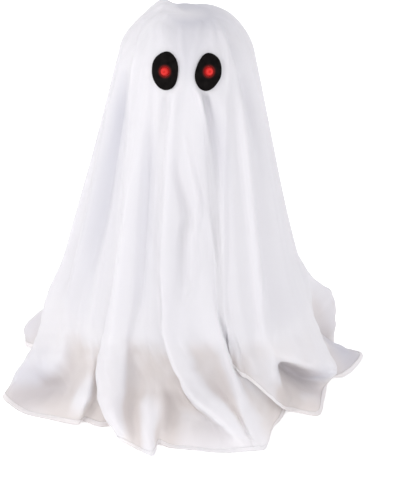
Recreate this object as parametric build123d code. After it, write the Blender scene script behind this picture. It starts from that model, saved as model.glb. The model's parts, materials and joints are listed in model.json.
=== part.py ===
from build123d import *
import math
import os

os.makedirs("parts", exist_ok=True)

# A cloth ghost that stands on a floor or shelf and lights up.
# Frame: +Z up, the figure looks along -Y, +X is to the right of somebody
# looking at its face.  The origin is on the floor under the middle.
# Millimetres throughout.

# ---- cloth outline (radius, height) -------------------------------------
CROWN_A = 59.0          # half width of the crown, over the cloth
CROWN_C = 43.5          # half height of the crown ellipse
CROWN_Z = 301.5         # height of the crown ellipse's centre; top is 345
CONE_SLOPE = 0.2126     # radius gained per mm of drop (12 degrees)
FLARE = [(107.2, 78.0), (117.0, 50.0), (131.0, 24.0), (146.0, 8.0), (158.0, 1.4)]
HEM_R = 160.0           # radius of the hem on the floor
CLOTH_T = 1.2           # outer cloth, with its folds pressed flat
LINING_GAP = 0.4
LINING_T = 0.8
LINING_HEM_Z = 76.0     # the opaque lining stops above the floor
HOOP_WIRE_R = 1.0

# ---- head form ----------------------------------------------------------
HEAD_A = 56.2
HEAD_C = 40.7
HEAD_WALL = 2.0
NECK_R = 11.0
NECK_Z0, NECK_Z1 = 250.0, 286.0
HEAD_SCREWS_XZ = [(-38.0, 300.0), (38.0, 300.0), (0.0, 327.0)]

# ---- eyes ---------------------------------------------------------------
EYE_X = 18.5
EYE_Z = 312.0
EYE_YAW = 18.0
EYE_PITCH = 19.0
PATCH_T = 2.0
LED_R = 4.0             # an 8 mm lamp
LED_FLANGE_R = 4.75

# ---- stand --------------------------------------------------------------
POST_R, POST_BORE = 7.0, 5.8
POST_Z0, POST_Z1 = 8.0, 284.0
POST_FIT = 0.06
BASE_R = 75.0
BASE_Z0, BASE_Z1 = 2.0, 8.0
BASE_TOP_T = 3.0
BOSS_R, BOSS_Z1 = 11.0, 34.0
FOOT_R, FOOT_PITCH_R = 7.0, 62.0
WIRE_HOLE_Z = 42.0

# ---- battery box --------------------------------------------------------
BX0, BX1 = -36.0, 36.0
BY0, BY1 = 22.0, 56.0
BZ0, BZ1 = 8.0, 27.0
BWALL = 1.6
PART_X = -22.6          # inner face of the wall between cells and switch
CELL_R, CELL_L = 7.1, 48.7
CELL_Y = (31.3, 46.7)
CELL_Z = 17.1
LID_TRAVEL = 74.0
KNOB_TRAVEL = 3.5

WIRE_R = 0.55
WIRE_OFF = 1.1


def save(shape, name):
    export_step(shape, f"parts/{name}.step")


def group(solids):
    return Compound(children=list(solids))


def rod(r, p0, p1):
    """A round bar of radius r from p0 to p1."""
    a, b = Vector(*p0), Vector(*p1)
    d = b - a
    return Plane(origin=a, z_dir=d) * Cylinder(
        r, d.length, align=(Align.CENTER, Align.CENTER, Align.MIN)
    )


def block(x0, x1, y0, y1, z0, z1):
    return Pos((x0 + x1) / 2, (y0 + y1) / 2, (z0 + z1) / 2) * Box(x1 - x0, y1 - y0, z1 - z0)


def pan_screw(seat, direction, head_r, head_h, shank_r, shank_l):
    """Pan head screw: seat is under the head, direction points along the shank."""
    s, d = Vector(*seat), Vector(*direction).normalized()
    top = s - d * head_h
    body = rod(head_r, s, top) + rod(shank_r, s, s + d * shank_l)
    pl = Plane(origin=top, z_dir=d)
    slot = pl * Box(head_r * 1.25, 0.7, head_h * 1.1) + pl * Box(0.7, head_r * 1.25, head_h * 1.1)
    return body - slot


# ---- cloth outline as a list of points ----------------------------------
def outline(offset, z_end=0.0, n=14):
    """Points of the cloth's outline from the crown down, moved inward by offset."""
    t_end = math.atan(CONE_SLOPE * CROWN_C / CROWN_A)
    pts = []
    for i in range(n + 1):
        t = math.pi / 2 + (t_end - math.pi / 2) * i / n
        pts.append((CROWN_A * math.cos(t), CROWN_Z + CROWN_C * math.sin(t)))
    r0, z0 = pts[-1]
    for z in (270.0, 190.0, 120.0):
        pts.append((r0 + (z0 - z) * CONE_SLOPE, z))
    pts += FLARE + [(HEM_R, 0.0)]
    out = []
    for i, (r, z) in enumerate(pts):
        a = pts[max(i - 1, 0)]
        b = pts[min(i + 1, len(pts) - 1)]
        tx, tz = b[0] - a[0], b[1] - a[1]
        ln = math.hypot(tx, tz)
        nx, nz = -tz / ln, tx / ln      # outward
        if i == 0:
            nx, nz = 0.0, 1.0
        out.append((max(r - nx * offset, 0.0), z - nz * offset))
    if z_end > 0:
        cut = []
        for p, q in zip(out, out[1:]):
            cut.append(p)
            if p[1] > z_end >= q[1]:
                f = (p[1] - z_end) / (p[1] - q[1])
                cut.append((p[0] + (q[0] - p[0]) * f, z_end))
                return cut
    # the last point stands on the floor
    (r1, z1), (r2, z2) = out[-2], out[-1]
    out[-1] = (min(r2, HEM_R - offset) if offset > 0 else r2, 0.0)
    return out


def bell(off_out, off_in, z_end=0.0):
    """Closed shell of revolution between two offsets of the cloth outline."""
    o = outline(off_out, z_end)
    i = outline(off_in, z_end)
    pts = [Vector(r, 0, z) for r, z in o] + [Vector(r, 0, z) for r, z in reversed(i)]
    face = make_face(Polyline(*pts, close=True))
    return revolve(face, axis=Axis.Z)


# ---- eye frames ---------------------------------------------------------
def crown_radius(z):
    t_end = math.atan(CONE_SLOPE * CROWN_C / CROWN_A)
    r0, z0 = CROWN_A * math.cos(t_end), CROWN_Z + CROWN_C * math.sin(t_end)
    if z < z0:
        return r0 + (z0 - z) * CONE_SLOPE
    return CROWN_A * math.sqrt(1 - ((z - CROWN_Z) / CROWN_C) ** 2)


def eye_frame(s):
    """Origin on the cloth and the axes out of, across and up the eye."""
    r = crown_radius(EYE_Z)
    o = Vector(s * EYE_X, -math.sqrt(r * r - EYE_X * EYE_X), EYE_Z)
    ya, pa = math.radians(EYE_YAW), math.radians(EYE_PITCH)
    n = Vector(s * math.sin(ya) * math.cos(pa), -math.cos(ya) * math.cos(pa), math.sin(pa))
    w = Vector(0, 0, 1).cross(n).normalized()     # to the right, seen from in front
    v = n.cross(w).normalized()                   # up
    return o, n, w, v


# outline of each eye patch, right and up from the lamp's centre
LEFT_EYE = [
    (1.8, 18.5), (6.8, 16.2), (10.4, 10.9), (11.6, 5.4), (11.6, -0.1), (10.9, -5.1),
    (8.8, -10.1), (5.3, -14.1), (1.2, -15.4), (-3.3, -13.9), (-7.3, -9.6), (-10.6, -4.1),
    (-11.6, 0.9), (-10.9, 7.0), (-8.3, 12.5), (-3.3, 17.0),
]
RIGHT_EYE = [
    (-2.0, 18.3), (3.0, 16.2), (7.0, 11.7), (9.6, 6.2), (10.5, 1.7), (9.6, -4.3),
    (6.6, -8.8), (2.5, -12.8), (-1.5, -14.7), (-5.0, -15.0), (-9.1, -12.8), (-11.8, -8.8),
    (-13.2, -3.3), (-13.1, 1.7), (-12.0, 7.7), (-10.0, 13.2), (-6.5, 17.0),
]


def eye_patch(s, pts):
    o, n, w, v = eye_frame(s)
    pl = Plane(origin=o - n * 6, x_dir=w, z_dir=n)
    prism = extrude(pl * make_face(Spline(*[Vector(x, y) for x, y in pts], periodic=True)), 14)
    shell = bell(-0.15 - PATCH_T, -0.15, 280.0)
    patch = (shell & prism) - rod(LED_R + 0.15, o - n * 8, o + n * 10)
    return max(patch.solids(), key=lambda k: k.volume)


def led(s):
    o, n, w, v = eye_frame(s)
    tip = o + n * 0.8
    lamp = rod(LED_R, o - n * 7.0, tip) + Pos(*tip) * Sphere(LED_R)
    lamp += rod(LED_FLANGE_R, o - n * 8.5, o - n * 7.0)
    for k in (-1.27, 1.27):
        lamp += Plane(origin=o - n * 12.75 + w * k, x_dir=w, z_dir=n) * Box(0.5, 0.5, 8.5)
    return lamp


def led_retainer(s):
    o, n, w, v = eye_frame(s)
    return rod(4.85, o - n * 11.5, o - n * 8.6) - rod(2.6, o - n * 12, o - n * 8)


# =========================================================================
# cloth, lining and hoop
# =========================================================================
eye_holes = []
for s in (-1, 1):
    o, n, w, v = eye_frame(s)
    eye_holes.append(rod(LED_R + 0.4, o - n * 9, o + n * 9))

shroud = bell(0.0, CLOTH_T)
lining = bell(CLOTH_T + LINING_GAP, CLOTH_T + LINING_GAP + LINING_T, LINING_HEM_Z)
for h in eye_holes:
    shroud -= h
    lining -= h
save(shroud, "shroud")
save(lining, "lining")

hoop_r = outline(CLOTH_T + LINING_GAP + LINING_T, LINING_HEM_Z)[-1][0] - HOOP_WIRE_R - 0.5
save(Pos(0, 0, LINING_HEM_Z + 2.0) * Torus(hoop_r - 0.4, HOOP_WIRE_R), "hoop_wire")

# =========================================================================
# eyes
# =========================================================================
save(eye_patch(-1, LEFT_EYE), "left_eye_patch")
save(eye_patch(1, RIGHT_EYE), "right_eye_patch")
save(led(-1), "left_led")
save(led(1), "right_led")
save(group([led_retainer(-1), led_retainer(1)]), "led_retainers")


# =========================================================================
# head form: two shells clamped round the top of the post
# =========================================================================
def egg(a, c, n=24):
    """Right half of the head's outline, from the bottom to the crown."""
    return [
        (a * math.cos(t), CROWN_Z + c * math.sin(t))
        for t in (math.pi * (i / n - 0.5) for i in range(n + 1))
    ]


def turned(points, start, angle):
    face = make_face(Polyline(*[Vector(r, 0, z) for r, z in points], close=True))
    return Rot(0, 0, start) * revolve(face, axis=Axis.Z, revolution_arc=angle)


def head_half(side):
    """One half of the head: side -1 is the face, +1 the back of the head."""
    start = 180.0 if side < 0 else 0.0
    o = [(0.0 if abs(r) < 1e-6 else r, z) for r, z in egg(HEAD_A, HEAD_C)]
    i = [(0.0 if abs(r) < 1e-6 else r, z) for r, z in egg(HEAD_A - HEAD_WALL, HEAD_C - HEAD_WALL)]
    whole = turned(o, start, 180.0)
    half = turned(o + list(reversed(i)), start, 180.0)
    half += turned([(0, NECK_Z0), (NECK_R, NECK_Z0), (NECK_R, NECK_Z1), (0, NECK_Z1)], start, 180.0)
    for x, z in HEAD_SCREWS_XZ:
        half += rod(3.8, (x, 0, z), (x, side * 60, z)) & whole
    return half, whole


bore = rod(POST_R + POST_FIT, (0, 0, NECK_Z0 - 1), (0, 0, NECK_Z1 + 1))
head_front, face_solid = head_half(-1)
head_rear, back_solid = head_half(1)
for s in (-1, 1):
    o, n, w, v = eye_frame(s)
    head_front += rod(7.5, o - n * 14, o - n * 1) & face_solid
for s in (-1, 1):
    o, n, w, v = eye_frame(s)
    head_front -= rod(LED_R + 0.1, o - n * 8, o + n * 4)
    head_front -= rod(4.9, o - n * 20, o - n * 6.95)
head_front -= bore
head_rear -= bore
for x, z in HEAD_SCREWS_XZ:
    head_front -= rod(1.5, (x, -11, z), (x, 1, z))
    head_rear -= rod(1.65, (x, -1, z), (x, 8, z))
    head_rear -= rod(3.2, (x, 5, z), (x, 70, z))
# flat and hole for the neck screw
head_front -= block(-4, 4, -20, -10.3, 251, 259)
head_front -= rod(1.6, (0, -20, 255), (0, -6, 255))
save(head_front, "head_front")
save(head_rear, "head_rear")
save(
    group([pan_screw((x, 5, z), (0, -1, 0), 2.7, 1.9, 1.45, 14) for x, z in HEAD_SCREWS_XZ]),
    "head_screws",
)

# =========================================================================
# post and base
# =========================================================================
post = rod(POST_R, (0, 0, POST_Z0), (0, 0, POST_Z1)) - rod(
    POST_BORE, (0, 0, POST_Z0 - 1), (0, 0, POST_Z1 + 1)
)
post -= rod(3.2, (0, 2, WIRE_HOLE_Z), (0, 12, WIRE_HOLE_Z))
post -= rod(1.35, (0, -12, 22), (0, -2, 22))
post -= rod(1.35, (0, -12, 255), (0, -2, 255))
save(post, "support_post")

grommet = rod(3.1, (0, 5.3, WIRE_HOLE_Z), (0, 8.6, WIRE_HOLE_Z)) + rod(
    4.4, (0, 7.1, WIRE_HOLE_Z), (0, 8.6, WIRE_HOLE_Z)
)
grommet -= rod(2.35, (0, 0, WIRE_HOLE_Z), (0, 12, WIRE_HOLE_Z))
save(grommet, "wire_grommet")

base = rod(BASE_R, (0, 0, BASE_Z1 - BASE_TOP_T), (0, 0, BASE_Z1))
base = chamfer(base.edges().group_by(Axis.Z)[-1], 0.8)
base += rod(BASE_R, (0, 0, BASE_Z0), (0, 0, 5)) - rod(BASE_R - 2.5, (0, 0, 1), (0, 0, 5))
for a in (0, 60, 120):
    base += Rot(0, 0, a) * block(-73, 73, -1, 1, 2.6, 5)
foot_xy = [
    (FOOT_PITCH_R * math.cos(math.radians(a)), FOOT_PITCH_R * math.sin(math.radians(a)))
    for a in (45, 135, 225, 315)
]
for x, y in foot_xy:
    base += rod(8.2, (x, y, BASE_Z0), (x, y, 5))
base += rod(BOSS_R, (0, 0, BASE_Z1 - 1), (0, 0, BOSS_Z1))
for a in (0, 180, 270):
    web = make_face(Polyline((10, 7.5), (34, 7.5), (34, 9.5), (10.4, 28), (10, 28), close=True))
    base += Rot(0, 0, a) * (Pos(0, 1.2, 0) * extrude(Plane.XZ * web, 2.4))
base -= rod(POST_R + POST_FIT, (0, 0, BASE_Z1), (0, 0, BOSS_Z1 + 1))
base -= block(-4, 4, -20, -10.3, 18, 26)
base -= rod(1.6, (0, -20, 22), (0, -6, 22))
CASE_SCREWS_X = (-10.0, 22.0)
for x in CASE_SCREWS_X:
    base += rod(3.6, (x, 39, 2.6), (x, 39, 5.5))
for x in CASE_SCREWS_X:
    base -= rod(1.3, (x, 39, 3.2), (x, 39, 9))
save(base, "base_plate")

feet = []
for x, y in foot_xy:
    f = rod(FOOT_R, (x, y, 0), (x, y, BASE_Z0))
    feet.append(chamfer(f.edges().group_by(Axis.Z)[0], 0.5))
save(group(feet), "rubber_feet")

save(
    group(
        [
            pan_screw((0, -10.3, 22), (0, 1, 0), 2.8, 1.9, 1.3, 6.5),
            pan_screw((0, -10.3, 255), (0, 1, 0), 2.8, 1.9, 1.3, 6.5),
        ]
    ),
    "post_screws",
)

# =========================================================================
# battery box: case, sliding lid, cells, contacts, switch
# =========================================================================
LID_Z = BZ1 - 1.6
knob_y = 40.75
slot_y0, slot_y1 = knob_y - 1.8 - KNOB_TRAVEL - 0.3, knob_y + 1.8 + 0.3
SW_Z = 15.2

case = block(BX0, BX1, BY0, BY1, BZ0, BZ1)
case = fillet(case.edges().filter_by(Axis.Z), 2.0)
case -= block(BX0 + BWALL, BX1 - BWALL, BY0 + BWALL, BY1 - BWALL, BZ0 + BWALL, BZ1 + 1)
case += block(PART_X - BWALL, PART_X, BY0 + 1, BY1 - 1, BZ0 + 1, 24.6)
case += block(PART_X, BX1 - 1, 38.4, 39.6, BZ0 + 1, 13.5)
# grooves for the lid's tongues, and the end that it slides out over
case -= block(BX0 + BWALL, BX1 + 1, BY0 + 0.8, BY1 - 0.8, LID_Z - 0.1, LID_Z + 0.9)
case -= block(BX1 - BWALL - 0.5, BX1 + 1, BY0 - 1, BY1 + 1, LID_Z - 0.2, BZ1 + 1)
# window for the switch, its screws, the leads and the solder tabs
case -= block(BX0 - 1, BX0 + BWALL + 0.5, slot_y0, slot_y1, SW_Z - 1.8, SW_Z + 1.8)
for y in (29.6, 48.4):
    case -= rod(1.1, (BX0 - 1, y, SW_Z), (BX0 + 3, y, SW_Z))
case -= rod(2.5, (-26.7, BY0 - 1, 15), (-26.7, BY0 + 2, 15))
case -= block(PART_X - 3, PART_X + 1, 29.2, 33.4, 13.0, 17.4)
case -= block(PART_X - 3, PART_X + 1, 44.6, 48.8, 13.0, 17.4)
for x in CASE_SCREWS_X:
    case -= block(x - 3.6, x + 3.6, 38, 40, BZ0 + BWALL, 14)
    case -= rod(1.5, (x, 39, BZ0 - 1), (x, 39, BZ0 + 4))
# raised bar and ring beside the switch: on and off
case += block(BX0 - 0.4, BX0 + 0.2, 42.6, 43.0, SW_Z + 3.2, SW_Z + 5.6)
case += rod(1.2, (BX0 - 0.4, 36.2, SW_Z + 4.4), (BX0 + 0.2, 36.2, SW_Z + 4.4)) - rod(
    0.8, (BX0 - 0.5, 36.2, SW_Z + 4.4), (BX0, 36.2, SW_Z + 4.4)
)
save(case, "battery_case")
save(
    group(
        [
            pan_screw((x, 39, BZ0 + BWALL), (0, 0, -1), 2.6, 1.4, 1.25, 5.8)
            for x in CASE_SCREWS_X
        ]
    ),
    "case_screws",
)

lid = block(BX0 + BWALL + 0.15, BX1, BY0 + BWALL + 0.15, BY1 - BWALL - 0.15, LID_Z + 0.05, BZ1)
lid += block(
    BX0 + BWALL + 0.15, BX1, BY0 + 0.95, BY1 - 0.95, LID_Z + 0.05, LID_Z + 0.75
)
lid += block(BX1 - 1.4, BX1, BY0, BY1, LID_Z + 0.05, BZ1)
for i in range(5):
    lid += block(20 + 2.4 * i, 21.2 + 2.4 * i, 30, 48, BZ1 - 0.2, BZ1 + 0.5)
save(lid, "battery_lid")

cells = []
for k, y in zip((1, -1), CELL_Y):
    x0 = -17.2 if k > 0 else 29.0
    c = rod(CELL_R, (x0, y, CELL_Z), (x0 + k * CELL_L, y, CELL_Z))
    c = chamfer(c.edges().filter_by(GeomType.CIRCLE), 0.5)
    c += rod(2.75, (x0 + k * CELL_L, y, CELL_Z), (x0 + k * (CELL_L + 1.9), y, CELL_Z))
    cells.append(c)
save(group(cells), "aa_cells")


def leaf(x_wall, k, y):
    """Bent spring strip on the wall at x_wall, pressing along k at a cell's flat end."""
    t = 0.4
    x0 = x_wall + k * 0.1
    mid = []
    for x, z in ((0.2, 11.0), (0.2, 23.6), (1.6, 24.0), (4.5, 17.4), (1.4, 12.0)):
        mid.append((x0 + k * x, z))
    left, right = [], []
    for i, p in enumerate(mid):
        a, b = mid[max(i - 1, 0)], mid[min(i + 1, len(mid) - 1)]
        d1 = Vector(p[0] - a[0], p[1] - a[1]) if i else Vector(b[0] - p[0], b[1] - p[1])
        d2 = Vector(b[0] - p[0], b[1] - p[1]) if i < len(mid) - 1 else d1
        m = (d1.normalized() + d2.normalized()).normalized()
        h = t / 2 / max(m.dot(d1.normalized()), 0.4)
        nx, nz = -m.Y * h, m.X * h
        left.append((p[0] + nx, p[1] + nz))
        right.append((p[0] - nx, p[1] - nz))
    face = make_face(Polyline(*left, *reversed(right), close=True))
    return Pos(0, y + 4.0, 0) * extrude(Plane.XZ * face, 8.0)


neg = leaf(PART_X, 1, CELL_Y[0])
neg += block(-28.8, PART_X + 0.4, 30.4, 31.0, 13.1, 14.9)
save(neg, "negative_terminal")

pos = block(PART_X + 0.1, PART_X + 0.6, CELL_Y[1] - 5, CELL_Y[1] + 5, 11, 23.6)
pos += block(-27.4, PART_X + 0.4, 45.4, 46.0, 13.4, 17.0)
save(pos, "positive_terminal")

far_x = BX1 - BWALL
bridge = leaf(far_x, -1, CELL_Y[1])
bridge += block(far_x - 0.6, far_x - 0.1, CELL_Y[0] - 5, CELL_Y[0] + 5, 11, 23.6)
bridge += block(far_x - 0.5, far_x - 0.1, CELL_Y[0] + 4, CELL_Y[1] - 3.5, 18, 22)
save(bridge, "bridge_contact")

sw = block(-34.0, -29.4, 32, 46, SW_Z - 3.2, SW_Z + 3.2)
sw += block(-34.35, -33.8, 26.6, 51.4, SW_Z - 2.7, SW_Z + 2.7)
sw -= block(-35, -32.4, slot_y0, slot_y1, SW_Z - 1.8, SW_Z + 1.8)
for y in (29.6, 48.4):
    sw -= rod(0.95, (-36, y, SW_Z), (-33, y, SW_Z))
for y in (36.0, 39.0, 42.0):
    sw += block(-29.6, -27.0, y - 0.25, y + 0.25, SW_Z - 1.6, SW_Z + 1.6)
save(sw, "switch_body")
save(
    group([pan_screw((BX0, y, SW_Z), (1, 0, 0), 2.0, 1.3, 0.9, 3.2) for y in (29.6, 48.4)]),
    "switch_screws",
)

knob = block(-39.0, -32.7, knob_y - 1.8, knob_y + 1.8, SW_Z - 1.5, SW_Z + 1.5)
knob = fillet(knob.edges().filter_by(Axis.Z).group_by(Axis.X)[0], 0.5)
for i in (-1, 0, 1):
    knob -= block(-39.5, -38.6, knob_y + i * 1.0 - 0.18, knob_y + i * 1.0 + 0.18, 10, 20)
save(knob, "switch_knob")


# =========================================================================
# leads: two red and two black, from the box up the post to the lamps
# =========================================================================
def offset_route(pts, a, b):
    """Route parallel to pts: a along X and b along Y on its first, upright run."""
    p = [Vector(*q) for q in pts]
    d = [(p[i + 1] - p[i]).normalized() for i in range(len(p) - 1)]
    off = Vector(a, b, 0)
    out = [p[0] + off]
    for i in range(1, len(p) - 1):
        d1, d2 = d[i - 1], d[i]
        k = d1.cross(d2)
        ang = math.atan2(k.length, d1.dot(d2))
        new = off.rotate(Axis((0, 0, 0), (k.X, k.Y, k.Z)), math.degrees(ang))
        # the two offset runs meet where off + s*d1 = new - u*d2
        diff = new - off
        c = d1.dot(d2)
        s_ = (diff.dot(d1) - c * diff.dot(d2)) / (1 - c * c)
        out.append(p[i] + off + d1 * s_)
        off = new
    out.append(p[-1] + off)
    return out


TOP_RADIUS, EXIT_RADIUS, RUN_RADIUS, ENTRY_RADIUS = 24.0, 5.5, 7.0, 6.5
LEAD_X = -26.7


def lead(points, name):
    d1, d2 = points[1] - points[0], points[2] - points[1]
    first = 0.45 * min(d1.length, d2.length) / math.tan(math.radians(d1.get_angle(d2)) / 2)
    rad = [min(first, 60.0), TOP_RADIUS, EXIT_RADIUS, RUN_RADIUS, ENTRY_RADIUS]
    path = FilletPolyline(*points, radius=rad)
    tube = sweep(Plane(origin=path @ 0, z_dir=path % 0) * Circle(WIRE_R), path=path)
    print(name, "radii", [round(r, 1) for r in rad], "length", round(path.length, 1),
          "volume", round(tube.volume, 2), "expected", round(math.pi * WIRE_R**2 * path.length, 2),
          "end", [round(c, 2) for c in points[-1]])
    return tube


LOWER = [(0, 0, 289), (0, 0, WIRE_HOLE_Z), (0, 18, WIRE_HOLE_Z), (LEAD_X, 13.0, 15), (LEAD_X, 27, 15)]
leads = {1: [], -1: []}
for s in (-1, 1):
    o, n, w, v = eye_frame(s)
    for c in (1, -1):
        low = offset_route(LOWER, s * WIRE_OFF, c * WIRE_OFF)
        low[0] = low[0] + Vector(0, 0, 1.5 * c)
        low[-1] = Vector(low[-1].X, 35.6 if c > 0 else 30.3, low[-1].Z)
        top = o - n * 17.05 + w * (1.27 * c)
        pts = [top, top - n * 9.0] + low
        leads[c].append(lead(pts, f"{'red' if c > 0 else 'black'}_{'right' if s > 0 else 'left'}"))
save(group(leads[1]), "red_leads")
save(group(leads[-1]), "black_leads")
print("nodes", len(os.listdir("parts")))
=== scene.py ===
import json
import math

import bpy
import numpy as np
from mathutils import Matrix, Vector


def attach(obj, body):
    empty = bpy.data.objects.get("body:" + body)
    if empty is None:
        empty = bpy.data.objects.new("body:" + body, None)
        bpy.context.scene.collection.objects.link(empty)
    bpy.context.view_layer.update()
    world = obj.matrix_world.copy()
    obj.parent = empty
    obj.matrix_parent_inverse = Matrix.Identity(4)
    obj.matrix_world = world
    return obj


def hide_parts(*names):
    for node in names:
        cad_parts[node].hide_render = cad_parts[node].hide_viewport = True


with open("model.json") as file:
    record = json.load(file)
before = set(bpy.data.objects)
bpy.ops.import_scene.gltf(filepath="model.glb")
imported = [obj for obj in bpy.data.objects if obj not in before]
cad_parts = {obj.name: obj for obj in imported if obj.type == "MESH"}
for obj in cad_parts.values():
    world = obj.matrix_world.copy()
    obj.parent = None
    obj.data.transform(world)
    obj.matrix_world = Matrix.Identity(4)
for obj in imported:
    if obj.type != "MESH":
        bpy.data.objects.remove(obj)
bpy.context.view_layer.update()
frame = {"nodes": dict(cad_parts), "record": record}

scene = bpy.context.scene
NODES = frame["nodes"]
MM = 0.001

# =========================================================================
# camera: level with the photograph's view, 25 degrees above the floor
# =========================================================================
CAM_EL = math.radians(25.0)
CAM_D = 12.0
FRAME_H = 0.4298                       # metres seen from top to bottom
aim = Vector((0.0113, 0.0, 0.120))
cam_data = bpy.data.cameras.new("camera")
cam_data.lens = 36.0 * CAM_D / FRAME_H
cam_data.sensor_width = 36.0
cam_data.clip_end = 100.0
cam = bpy.data.objects.new("camera", cam_data)
scene.collection.objects.link(cam)
cam.location = aim + Vector((0.0, -math.cos(CAM_EL), math.sin(CAM_EL))) * CAM_D
cam.rotation_euler = (aim - cam.location).to_track_quat("-Z", "Y").to_euler()
scene.camera = cam

# =========================================================================
# the outline that the cloth hangs on (millimetres, as in the CAD part)
# =========================================================================
CROWN_A, CROWN_C, CROWN_Z, SLOPE = 59.0, 43.5, 301.5, 0.2126
T_END = math.atan(SLOPE * CROWN_C / CROWN_A)
R_TAN, Z_TAN = CROWN_A * math.cos(T_END), CROWN_Z + CROWN_C * math.sin(T_END)
FLARE_Z = np.array([0.0, 1.4, 8.0, 24.0, 50.0, 78.0])
FLARE_R = np.array([160.0, 158.0, 146.0, 131.0, 117.0, 107.2])


def base_r(z):
    """Radius of the smooth outline at height z, in millimetres."""
    z = np.asarray(z, float)
    crown = CROWN_A * np.sqrt(np.clip(1 - ((z - CROWN_Z) / CROWN_C) ** 2, 0, 1))
    cone = R_TAN + (Z_TAN - z) * SLOPE
    flare = np.interp(z, FLARE_Z, FLARE_R)
    return np.where(z >= Z_TAN, crown, np.where(z >= 78.0, cone, flare))


def smooth(a, b, x):
    t = np.clip((np.asarray(x, float) - a) / (b - a), 0, 1)
    return t * t * (3 - 2 * t)


# eye frames, as in the CAD part
EYE_X, EYE_Z = 18.5, 312.0
EYE_YAW, EYE_PITCH = math.radians(18.0), math.radians(19.0)


def eye_frame(s):
    r = float(base_r(EYE_Z))
    o = np.array([s * EYE_X, -math.sqrt(r * r - EYE_X * EYE_X), EYE_Z])
    n = np.array([s * math.sin(EYE_YAW) * math.cos(EYE_PITCH),
                  -math.cos(EYE_YAW) * math.cos(EYE_PITCH), math.sin(EYE_PITCH)])
    w = np.cross([0, 0, 1.0], n)
    w /= np.linalg.norm(w)
    v = np.cross(n, w)
    return o, n, w, v


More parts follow.
